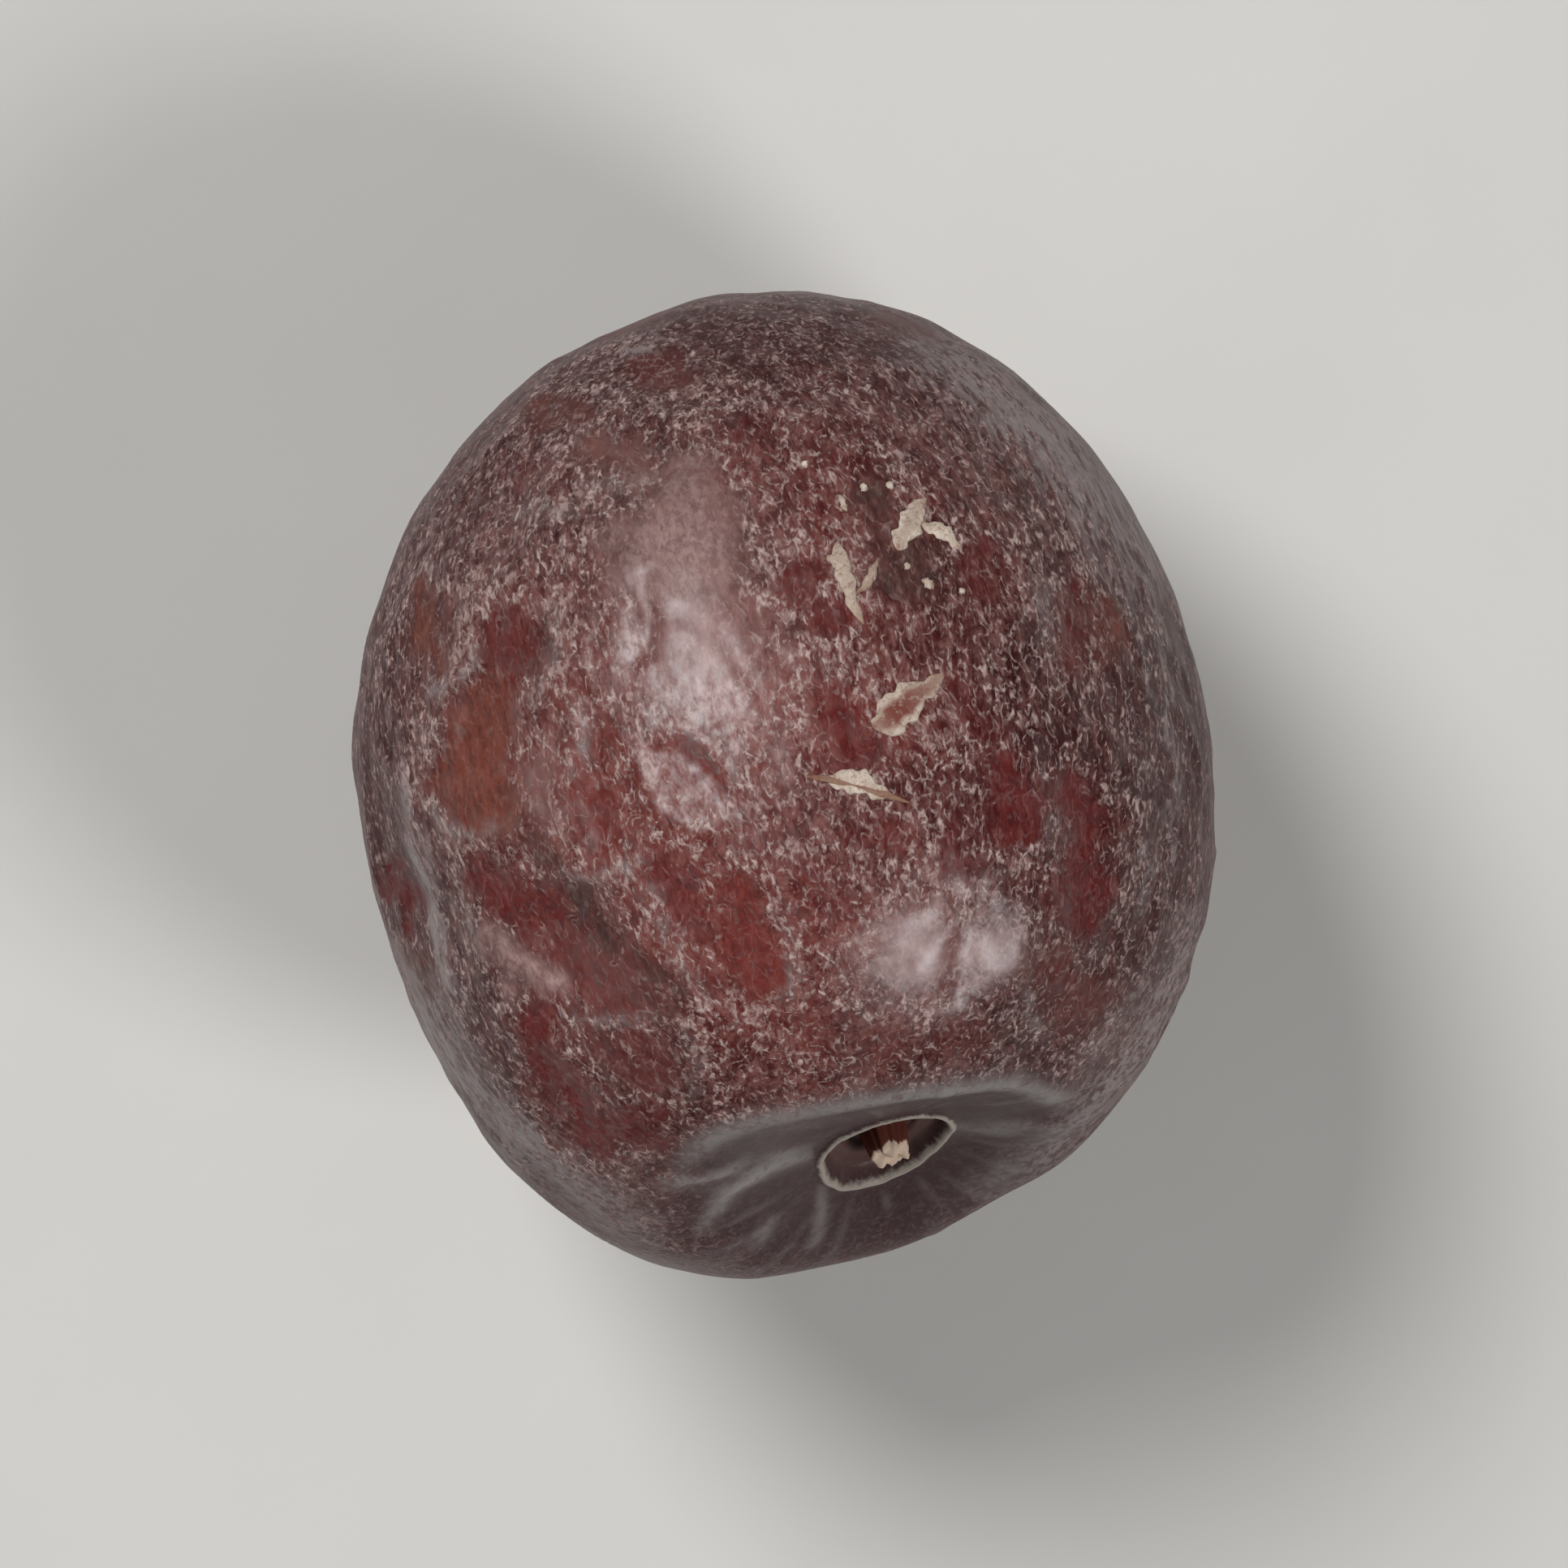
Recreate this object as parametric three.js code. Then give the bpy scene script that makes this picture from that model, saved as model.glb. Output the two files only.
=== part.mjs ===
// A dried jujube, picked and lying on its flank.
//
// The fruit is one closed skin, worked out as a distance from the middle of the body for every direction:
// an oval with squarer ends, a basin and a stalk scar at the stem end, a dimple at the blossom end, and the
// net of shallow dishes and ridges that the skin shrinks into as it dries.
//
// Millimetres, +Z up. The origin is on the resting surface, under the middle of the fruit's bounding box.

import * as THREE from "three";

const { degToRad, lerp, smoothstep } = THREE.MathUtils;

// The body: half sizes across and through the fruit, and the reach from its middle to each end
const HALF_WIDTH = 10.8;
const HALF_THICKNESS = 10.6;
const STEM_REACH = 12.4;
const BLOSSOM_REACH = 12.4;
const STEM_SQUARENESS = 2.3;
const BLOSSOM_SQUARENESS = 2.1;
// Height along the axis, as a share of the reach, over which one squareness turns into the other
const SQUARENESS_FROM = -0.2;
const SQUARENESS_TO = 0.7;
// How far each end leans over, as a rise per millimetre across the fruit
const STEM_LEAN = -0.095;
const BLOSSOM_LEAN = -0.055;
const LEAN_FULL = 0.95;

// How it lies: the stem end points towards -Y, a little to +X, and stands up off the surface
const AXIS_TURN = degToRad(15);
const AXIS_RISE = degToRad(24);
const BODY_MIDDLE = new THREE.Vector3(0.02, 0.19, 10.45);

// The stem end: a basin inside a crest that flares out to one side, with a lip along its upper part
const CREST_RADIUS = 4.65;
const CREST_FLARE = 1.5;
const FLARE_TURN = degToRad(136);
const FLARE_SPREAD = 0.18;
const LIP_HEIGHT = 0.2;
const LIP_WIDTH = 0.6;
const LIP_TURN = degToRad(75);
const LIP_FROM = 0.2;
const LIP_FULL = 0.6;
const BASIN_DEPTH = 2.05;
const BASIN_SHARE = 0.77;
const BASIN_STEEPNESS = 2.8;

// The stalk's scar in the floor of the basin: a corky rim, a sunken disc, a hole and the stub of the stalk
const RIM_RADIUS = 1.7;
const RIM_HEIGHT = 0.16;
const RIM_WIDTH = 0.13;
const RIM_OVALNESS = 0.03;
const RIM_WAVINESS = 0.025;
const DISC_DROP = 0.35;
const DISC_SLOPE = 0.35;
const HOLE_RADIUS = 1.05;
const HOLE_DEPTH = 0.3;
const STUB_RADIUS = 0.68;
const STUB_HEIGHT = 1.05;
const STUB_OFFSET = 0.12;
const SCAR_STEP = 0.25;

// The furrows that run out from the basin: they start and end softly, and are deepest on one side
const FURROW_COUNT = 9;
const FURROW_SWAY = 1.4;
const FURROW_DEPTH = 0.14;
const FURROW_START = 2.6;
const FURROW_FULL = 4.1;
const FURROW_FADE = 5.5;
const FURROW_END = 8.5;
const FURROW_SIDE = degToRad(-36);
const FURROW_ONE_SIDEDNESS = 0.4;

// The blossom end: a dimple with the point where the flower's style stood
const DIMPLE_DEPTH = 0.9;
const DIMPLE_SPREAD = 2.3;
const POINT_HEIGHT = 0.3;
const POINT_RADIUS = 0.35;

// Broad hollows in the flanks: direction in the fruit's own frame (right, front, stem), depth and spread
const HOLLOWS = [
  { towards: [0.75, -0.6, 0.25], depth: 0.75, spread: 0.42 },
  { towards: [-0.7, -0.62, -0.3], depth: 0.9, spread: 0.38 },
  { towards: [0.1, -0.75, 0.6], depth: 0.6, spread: 0.35 },
  { towards: [0.45, -0.2, -0.85], depth: 0.5, spread: 0.34 },
];

// Dishes of the skin's net on the upper side, placed from the middle of the body as seen from above.
// A dish with less than no depth is a swelling.
const UPPER_DISHES = [
  { x: -8.8, y: 3.8, size: 0.8, depth: 0.2 },
  { x: -7.2, y: 1.3, size: 1.0, depth: 0.38 },
  { x: -4.1, y: 8.3, size: 0.9, depth: 0.16 },
  { x: -2.2, y: 4.2, size: 1.2, depth: -0.06 },
  { x: -2.4, y: 0.3, size: 0.55, depth: 0.1 },
  { x: -4.7, y: -0.6, size: 0.8, depth: 0.2 },
  { x: -5.6, y: -4.3, size: 1.2, depth: 0.42 },
  { x: -1.4, y: -3.8, size: 1.0, depth: 0.2 },
  { x: -5.6, y: -7.6, size: 0.9, depth: 0.16 },
  { x: 5.4, y: -0.4, size: 0.9, depth: 0.16 },
  { x: 7.7, y: -2.0, size: 0.9, depth: 0.2 },
  { x: 3.0, y: -4.4, size: 1.0, depth: -0.05 },
  { x: 5.6, y: -4.5, size: 0.8, depth: -0.03 },
  { x: 7.8, y: -5.8, size: 0.9, depth: 0.15 },
  { x: 1.6, y: -1.0, size: 1.1, depth: 0.1 },
  { x: 3.9, y: 3.2, size: 1.1, depth: 0.08 },
  { x: 0.4, y: 7.0, size: 1.2, depth: 0.05 },
  { x: 7.2, y: 2.8, size: 1.0, depth: 0.1 },
  { x: 4.2, y: 8.6, size: 1.1, depth: 0.08 },
  { x: -7.2, y: 7.0, size: 1.0, depth: 0.12 },
  { x: 0.4, y: -7.0, size: 1.0, depth: 0.08 },
  { x: -9.2, y: -3.2, size: 0.8, depth: 0.28 },
];

// Dishes on the rest of the fruit follow an even spiral, each nudged off it, and are deepest underneath
const SPIRAL_DISHES = 190;
const SPIRAL_NUDGE = 0.15;
const SPIRAL_DEPTH = 0.62;
const SPIRAL_DEPTH_LEAST = 0.3;
const SPIRAL_SIZE_LEAST = 0.7;
const SPIRAL_SIZE_MOST = 1.3;
const FLANK_DEPTH_SHARE = 0.3;
const UNDERSIDE_FROM = -0.1;
const UNDERSIDE_TO = 0.6;
const CLEAR_OF_UPPER = 0.34;
const FULL_DISH_SPACING = 0.3;
const GOLDEN_ANGLE = Math.PI * (3 - Math.sqrt(5));

// The net's grain: dishes run longer towards the ends than across, and their borders wander in waves
const DISH_STRETCH = 0.68;
const BORDER_SOFTNESS = 0.07;
const BORDER_WANDER = 0.055;
const SLOW_WAVES = 7;
const QUICK_WAVES = 17;
const QUICK_SHARE = 0.6;
const WAVE_PHASES = [0.7, 1.9, 3.1];
// The net fades out over the shoulder of the stem end
const NET_FADES_FROM = 0.72;
const NET_ENDS_AT = 0.88;

// The facets of the skin: columns round the axis, rows over the scar and rows over the rest
const COLUMNS = 104;
const SCAR_ROWS = 15;
const BODY_ROWS = 38;
const SCAR_ANGLE = 0.22;
const HALVINGS = 40;

const SKIN_COLOUR = 0x5e2a2a;
const SKIN_ROUGHNESS = 0.45;

// Multipliers of the sine that scatters whole numbers
const SCATTER_STEP = 12.9898;
const SCATTER_SALT = 78.233;
const SCATTER_SCALE = 43758.5453;

/** A repeatable number from 0 to 1 for a whole number and a salt. */
function scatter(index, salt) {
  const wave = Math.sin(index * SCATTER_STEP + salt * SCATTER_SALT) * SCATTER_SCALE;
  return wave - Math.floor(wave);
}

/** A bell of height 1 at offset 0, down to 1/e at the given spread. */
function bell(offset, spread) {
  return Math.exp(-((offset / spread) ** 2));
}

/** The fruit's own frame in the part's axes: right across it, front towards the sky, stem along its axis. */
function fruitFrame() {
  const stem = new THREE.Vector3(
    Math.cos(AXIS_RISE) * Math.sin(AXIS_TURN),
    -Math.cos(AXIS_RISE) * Math.cos(AXIS_TURN),
    Math.sin(AXIS_RISE),
  );
  const up = new THREE.Vector3(0, 0, 1);
  const front = up.clone().addScaledVector(stem, -stem.z).normalize();
  const right = front.clone().cross(stem);
  return { right, front, stem };
}

/** Distance from the middle to the plain oval body, along a unit direction of the fruit's own frame. */
function ovalRadius(direction) {
  const across = Math.hypot(direction.x / HALF_WIDTH, direction.y / HALF_THICKNESS);
  const along = Math.abs(direction.z) / (direction.z > 0 ? STEM_REACH : BLOSSOM_REACH);
  const share = smoothstep(direction.z, SQUARENESS_FROM, SQUARENESS_TO);
  const squareness = lerp(BLOSSOM_SQUARENESS, STEM_SQUARENESS, share);
  return (across ** squareness + along ** squareness) ** (-1 / squareness);
}

/** The direction, in the fruit's own frame, of the point of the oval's upper side that lies over (x, y). */
function directionUnder(x, y, frame) {
  const local = new THREE.Vector3();
  let low = 0;
  let high = 2 * HALF_THICKNESS;
  for (let halving = 0; halving < HALVINGS; halving++) {
    const height = (low + high) / 2;
    const place = new THREE.Vector3(x, y, height);
    local.set(place.dot(frame.right), place.dot(frame.front), place.dot(frame.stem)).normalize();
    if (place.length() < ovalRadius(local)) low = height;
    else high = height;
  }
  return local;
}

/** A direction as a point of the space where the net is measured: short along the axis, bent by waves. */
function netPoint(direction) {
  const { x, y } = direction;
  const z = direction.z * DISH_STRETCH;
  const bend = (slow, quick, phase) =>
    BORDER_WANDER *
    (Math.sin(SLOW_WAVES * slow + phase) + QUICK_SHARE * Math.sin(QUICK_WAVES * quick + 3 * phase));
  const [ofX, ofY, ofZ] = WAVE_PHASES;
  return new THREE.Vector3(x + bend(y, z, ofX), y + bend(z, x, ofY), z + bend(x, y, ofZ));
}

/** One dish of the spiral that covers the sides and the underside. */
function spiralDish(index) {
  const height = 1 - (2 * (index + 0.5)) / SPIRAL_DISHES;
  const width = Math.sqrt(1 - height * height);
  const turn = index * GOLDEN_ANGLE;
  const nudge = (salt) => SPIRAL_NUDGE * (2 * scatter(index, salt) - 1);
  const direction = new THREE.Vector3(
    width * Math.cos(turn) + nudge(1),
    width * Math.sin(turn) + nudge(2),
    height + nudge(3),
  ).normalize();
  const underside = smoothstep(-direction.y, UNDERSIDE_FROM, UNDERSIDE_TO);
  const depthShare = lerp(FLANK_DEPTH_SHARE, 1, underside) * lerp(SPIRAL_DEPTH_LEAST, 1, scatter(index, 5));
  return {
    direction,
    size: lerp(SPIRAL_SIZE_LEAST, SPIRAL_SIZE_MOST, scatter(index, 4)),
    depth: SPIRAL_DEPTH * depthShare,
  };
}

/** All dishes of the net, with the place, size and depth of each: the upper ones, then the spiral's. */
function netDishes(frame) {
  const upper = UPPER_DISHES.map(({ x, y, size, depth }) => ({
    direction: directionUnder(x, y, frame),
    size,
    depth,
  }));
  const isClear = ({ direction }) =>
    upper.every((dish) => dish.direction.distanceTo(direction) >= CLEAR_OF_UPPER);
  const spiral = Array.from({ length: SPIRAL_DISHES }, (_, index) => spiralDish(index)).filter(isClear);
  return [...upper, ...spiral].map((dish) => ({ ...dish, point: netPoint(dish.direction) }));
}

/**
 * How deep the skin lies under the net's ridges: nothing on a border, a dish's full depth at its middle.
 * A dish that its neighbours crowd stays shallower.
 */
function netDepth(direction, dishes) {
  const point = netPoint(direction);
  let nearest = Infinity;
  let second = Infinity;
  let depth = 0;
  for (const dish of dishes) {
    const distance = point.distanceTo(dish.point) / dish.size;
    if (distance < nearest) {
      second = nearest;
      nearest = distance;
      depth = dish.depth;
    } else if (distance < second) {
      second = distance;
    }
  }
  const inward = (second - nearest) / (second + nearest);
  const rounded = Math.hypot(inward, BORDER_SOFTNESS) - BORDER_SOFTNESS;
  const fullness = Math.min(1, (second + nearest) / FULL_DISH_SPACING);
  return depth * fullness * rounded * (2 - rounded);
}

/** How deep the broad hollows are in a direction. */
function hollowDepth(direction) {
  const depths = HOLLOWS.map(
    ({ towards, depth, spread }) => depth * bell(direction.angleTo(new THREE.Vector3(...towards)), spread),
  );
  return depths.reduce((sum, depth) => sum + depth, 0);
}

/** Distance of the stem end's crest from the axis, at a turn round it. */
function crestRadius(turn) {
  return CREST_RADIUS + CREST_FLARE * Math.exp((Math.cos(turn - FLARE_TURN) - 1) / FLARE_SPREAD);
}

/** Rise of the basin and its crest: a flat floor with steep sides, and a lip on the crest's upper part. */
function basinRise(turn, radius) {
  const crest = crestRadius(turn);
  const basin = BASIN_DEPTH * Math.exp(-((radius / (BASIN_SHARE * crest)) ** BASIN_STEEPNESS));
  const lipShare = smoothstep(Math.cos(turn - LIP_TURN), LIP_FROM, LIP_FULL);
  return LIP_HEIGHT * lipShare * bell(radius - crest, LIP_WIDTH) - basin;
}

/** Rise of the furrows: waves round the axis that sway to and fro. */
function furrowRise(turn, radius) {
  const starts = smoothstep(radius, FURROW_START, FURROW_FULL);
  const ends = 1 - smoothstep(radius, FURROW_FADE, FURROW_END);
  const wave = 0.5 + 0.5 * Math.sin(FURROW_COUNT * turn + FURROW_SWAY * Math.sin(2 * turn));
  const side = lerp(1, Math.cos(turn - FURROW_SIDE), FURROW_ONE_SIDEDNESS);
  return -FURROW_DEPTH * starts * ends * wave * side;
}

/** Rise of the stalk's scar over the floor of the basin. */
function scarRise(x, y, turn, radius) {
  const unevenness = RIM_OVALNESS * Math.sin(2 * turn) + RIM_WAVINESS * Math.sin(3 * turn + 1);
  const rimRadius = RIM_RADIUS * (1 + unevenness);
  const rim = RIM_HEIGHT * bell(radius - rimRadius, RIM_WIDTH);
  const disc = DISC_DROP * (1 - smoothstep(radius, rimRadius - DISC_SLOPE, rimRadius));
  const hole = HOLE_DEPTH * (1 - smoothstep(radius, HOLE_RADIUS - SCAR_STEP, HOLE_RADIUS));
  const fromStub = Math.hypot(x - STUB_OFFSET, y + STUB_OFFSET);
  const stub = STUB_HEIGHT * (1 - smoothstep(fromStub, STUB_RADIUS - SCAR_STEP, STUB_RADIUS));
  return rim - disc - hole + stub;
}

/** The skin's point in a direction of the fruit's own frame, in the part's axes. */
function skinPoint(direction, dishes, frame) {
  const netShare = 1 - smoothstep(direction.z, NET_FADES_FROM, NET_ENDS_AT);
  const sunk = netShare * netDepth(direction, dishes) + hollowDepth(direction);
  const local = direction.clone().multiplyScalar(ovalRadius(direction) - sunk);
  const radius = Math.hypot(local.x, local.y);
  const turn = Math.atan2(local.y, local.x);
  if (direction.z > 0) {
    local.z += scarRise(local.x, local.y, turn, radius);
    local.z += basinRise(turn, radius) + furrowRise(turn, radius);
    local.z += local.x * STEM_LEAN * smoothstep(direction.z, 0, LEAN_FULL);
  } else {
    local.z += DIMPLE_DEPTH * bell(radius, DIMPLE_SPREAD) - POINT_HEIGHT * bell(radius, POINT_RADIUS);
    local.z += local.x * BLOSSOM_LEAN * smoothstep(-direction.z, 0, LEAN_FULL);
  }
  const point = BODY_MIDDLE.clone()
    .addScaledVector(frame.right, local.x)
    .addScaledVector(frame.front, local.y)
    .addScaledVector(frame.stem, local.z);
  // The underside is pressed flat where the fruit lies on the surface
  point.z = Math.max(point.z, 0);
  return point;
}

/** Angles from the stem end of the rows between the poles: close over the scar, even over the rest. */
function rowAngles() {
  const scar = Array.from({ length: SCAR_ROWS }, (_, row) => (SCAR_ANGLE * (row + 1)) / SCAR_ROWS);
  const step = (Math.PI - SCAR_ANGLE) / BODY_ROWS;
  const body = Array.from({ length: BODY_ROWS - 1 }, (_, row) => SCAR_ANGLE + step * (row + 1));
  return [...scar, ...body];
}

/** The closed skin: a grid of rows and columns round the axis, with one point at each pole. */
function skinGeometry() {
  const frame = fruitFrame();
  const dishes = netDishes(frame);
  const rows = rowAngles();
  const positions = [];
  const add = (x, y, z) => positions.push(...skinPoint(new THREE.Vector3(x, y, z), dishes, frame));
  add(0, 0, 1);
  for (const angle of rows) {
    for (let column = 0; column < COLUMNS; column++) {
      const turn = (2 * Math.PI * column) / COLUMNS;
      add(Math.sin(angle) * Math.cos(turn), Math.sin(angle) * Math.sin(turn), Math.cos(angle));
    }
  }
  add(0, 0, -1);

  const at = (row, column) => 1 + row * COLUMNS + (column % COLUMNS);
  const last = rows.length - 1;
  const blossomPole = 1 + rows.length * COLUMNS;
  const faces = [];
  for (let column = 0; column < COLUMNS; column++) {
    faces.push(0, at(0, column), at(0, column + 1));
    for (let row = 0; row < last; row++) {
      faces.push(at(row, column), at(row + 1, column), at(row + 1, column + 1));
      faces.push(at(row, column), at(row + 1, column + 1), at(row, column + 1));
    }
    faces.push(at(last, column), blossomPole, at(last, column + 1));
  }
  const geometry = new THREE.BufferGeometry();
  geometry.setAttribute("position", new THREE.Float32BufferAttribute(positions, 3));
  geometry.setIndex(faces);
  geometry.computeVertexNormals();
  return geometry;
}

const skin = new THREE.MeshStandardMaterial({ color: SKIN_COLOUR, roughness: SKIN_ROUGHNESS, metalness: 0 });
const jujube = new THREE.Mesh(skinGeometry(), skin);
jujube.name = "jujube";

const fruit = new THREE.Group();
fruit.add(jujube);

export default fruit;
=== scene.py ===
"""A dried jujube lying on its flank on a pale floor, seen from straight above.

The skin follows the formulas of the CAD solid on a much finer grid, and adds what is too small for the solid:
the patches where the skin shows clean, folds, small wrinkles, and the dust of bloom. Corky flecks lie on it.

Formulas work in millimetres and meshes are in metres. "Local" places are in the fruit's own frame (right
across it, front towards the sky, stem along its axis) and "seen" places are (x, y) from the middle of the
body, looked at from above.
"""
import math
from types import SimpleNamespace

import bpy
import numpy as np
from mathutils import Matrix, Vector


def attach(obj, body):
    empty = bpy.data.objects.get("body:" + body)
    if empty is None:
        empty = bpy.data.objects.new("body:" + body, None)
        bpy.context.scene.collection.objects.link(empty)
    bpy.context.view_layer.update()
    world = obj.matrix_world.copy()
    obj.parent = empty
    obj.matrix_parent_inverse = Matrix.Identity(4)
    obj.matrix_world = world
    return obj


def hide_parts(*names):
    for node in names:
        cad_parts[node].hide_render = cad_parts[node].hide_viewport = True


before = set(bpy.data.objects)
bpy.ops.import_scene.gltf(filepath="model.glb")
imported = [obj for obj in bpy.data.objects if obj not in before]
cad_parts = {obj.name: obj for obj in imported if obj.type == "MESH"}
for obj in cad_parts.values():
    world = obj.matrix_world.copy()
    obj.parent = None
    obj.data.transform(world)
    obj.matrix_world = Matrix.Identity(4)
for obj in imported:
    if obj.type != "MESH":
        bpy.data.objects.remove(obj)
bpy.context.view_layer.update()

MM = 0.001

# The body: half sizes across and through the fruit, and the reach from its middle to each end
HALF_WIDTH = 10.8
HALF_THICKNESS = 10.6
END_REACH = 12.4
STEM_SQUARENESS = 2.3
BLOSSOM_SQUARENESS = 2.1
SQUARENESS_GROWS = (-0.2, 0.7)
STEM_LEAN = -0.095
BLOSSOM_LEAN = -0.055
LEAN_FULL = 0.95

# How it lies: the stem end points towards -Y, a little to +X, and stands up off the floor
AXIS_TURN = math.radians(15)
AXIS_RISE = math.radians(24)
BODY_MIDDLE = np.array([0.02, 0.19, 10.45])

# The stem end: a basin inside a crest that flares out to one side, with a lip along its upper part
CREST_RADIUS = 4.65
CREST_FLARE = 1.5
FLARE_TURN = math.radians(136)
FLARE_SPREAD = 0.18
LIP_HEIGHT = 0.2
LIP_WIDTH = 0.6
LIP_TURN = math.radians(75)
LIP_SETS_IN = (0.2, 0.6)
BASIN_DEPTH = 2.05
BASIN_SHARE = 0.77
BASIN_STEEPNESS = 2.8

# The stalk's scar in the floor of the basin: a corky rim, a sunken disc, a hole and the stub of the stalk
RIM_RADIUS = 1.7
RIM_HEIGHT = 0.16
RIM_WIDTH = 0.13
RIM_OVALNESS = 0.03
RIM_WAVINESS = 0.025
DISC_DROP = 0.35
DISC_SLOPE = 0.35
HOLE_RADIUS = 1.05
HOLE_DEPTH = 0.3
STUB_RADIUS = 0.68
STUB_HEIGHT = 1.05
STUB_OFFSET = 0.12
SCAR_STEP = 0.25

# How the scar is frayed: shares of the radius and height, and the count and share of each sine
RIM_FRAY = 0.025
STUB_FRAY = 0.1
STUB_FIBRES = 0.14
FIBRE_TURNS = 9.0
FRAY_SINES = ((5, 1.0), (11, 0.6), (19, 0.4))

# Where the stem end's colours lie: in from the crest and out from it, further where there is no lip
FACE_INSIDE, FACE_INSIDE_BLUR = 0.4, 1.6
FACE_OUTSIDE, FACE_OUTSIDE_BLUR = 0.5, 1.0
CREST_BAND = 0.32
STUB_EDGE = (0.02, 0.2)
STUB_END_EDGE = (0.75, 1.0)

# Fine wrinkles that run out from the scar over the stem end
RAY_COUNTS = (17, 29)
RAY_SWAY = 1.2
RAY_HEIGHT = 0.035
RAYS_START = (1.9, 2.6)
RAYS_END = (4.4, 7.0)

# The furrows that run out from the basin: they start and end softly, and are deepest on one side
FURROW_COUNT = 9
FURROW_SWAY = 1.4
FURROW_DEPTH = 0.14
FURROWS_START = (2.6, 4.1)
FURROWS_END = (5.5, 8.5)
FURROW_SIDE = math.radians(-36)
FURROW_ONE_SIDEDNESS = 0.4

# The blossom end: a dimple with painted shade round its middle, and the point where the flower's style stood
DIMPLE_DEPTH = 0.9
DIMPLE_SPREAD = 2.3
POINT_HEIGHT = 0.3
POINT_RADIUS = 0.35
DIMPLE_SHADE_RADIUS = 1.2

# Broad hollows in the flanks: local direction, depth and spread
HOLLOWS = [
    ((0.75, -0.6, 0.25), 0.75, 0.42),
    ((-0.7, -0.62, -0.3), 0.9, 0.38),
    ((0.1, -0.75, 0.6), 0.6, 0.35),
    ((0.45, -0.2, -0.85), 0.5, 0.34),
]

# Dishes of the skin's net on the upper side: seen place, size, and depth (a swelling where it is negative)
UPPER_DISHES = np.array([
    (-8.8, 3.8, 0.8, 0.2),
    (-7.2, 1.3, 1.0, 0.38),
    (-4.1, 8.3, 0.9, 0.16),
    (-2.2, 4.2, 1.2, -0.06),
    (-2.4, 0.3, 0.55, 0.1),
    (-4.7, -0.6, 0.8, 0.2),
    (-5.6, -4.3, 1.2, 0.42),
    (-1.4, -3.8, 1.0, 0.2),
    (-5.6, -7.6, 0.9, 0.16),
    (5.4, -0.4, 0.9, 0.16),
    (7.7, -2.0, 0.9, 0.2),
    (3.0, -4.4, 1.0, -0.05),
    (5.6, -4.5, 0.8, -0.03),
    (7.8, -5.8, 0.9, 0.15),
    (1.6, -1.0, 1.1, 0.1),
    (3.9, 3.2, 1.1, 0.08),
    (0.4, 7.0, 1.2, 0.05),
    (7.2, 2.8, 1.0, 0.1),
    (4.2, 8.6, 1.1, 0.08),
    (-7.2, 7.0, 1.0, 0.12),
    (0.4, -7.0, 1.0, 0.08),
    (-9.2, -3.2, 0.8, 0.28),
])

# Dishes on the rest of the fruit follow an even spiral, each nudged off it, and are deepest underneath
SPIRAL_DISHES = 190
SPIRAL_NUDGE = 0.15
SPIRAL_DEPTH = 0.62
SPIRAL_DEPTH_LEAST = 0.3
SPIRAL_SIZE_LEAST, SPIRAL_SIZE_MOST = 0.7, 1.3
FLANK_DEPTH_SHARE = 0.3
UNDERSIDE = (-0.1, 0.6)
CLEAR_OF_UPPER = 0.34
FULL_DISH_SPACING = 0.3
GOLDEN_ANGLE = math.pi * (3 - math.sqrt(5))

# The net's grain: dishes run longer towards the ends than across, and their borders wander in waves
DISH_STRETCH = 0.68
BORDER_SOFTNESS = 0.07
BORDER_WANDER = 0.055
SLOW_WAVES, QUICK_WAVES, QUICK_SHARE = 7, 17, 0.6
WAVE_PHASES = (0.7, 1.9, 3.1)
NET_ENDS = (0.72, 0.88)

# Small wrinkles between the dishes: a finer net, drawn out along the fruit, faint on the upper side
WRINKLES = 900
WRINKLE_STRETCH = 0.42
WRINKLE_DEPTH = 0.11
WRINKLE_UPPER_SHARE = 0.35
WRINKLE_SPACING = 0.05
WRINKLE_NUDGE = 0.06
BARE_SMOOTHNESS = 0.6

# Slow unevenness of the skin: waves in many directions
UNEVEN_WAVES = 36
UNEVEN_LENGTHS = (1.3, 4.5)
UNEVEN_HEIGHT = 0.018

# Where the skin counts as facing up, and as a flank, by the height of its direction
FACING_UP = (-0.15, 0.2)
FLANK_EDGE = (0.2, 0.75)

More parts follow.
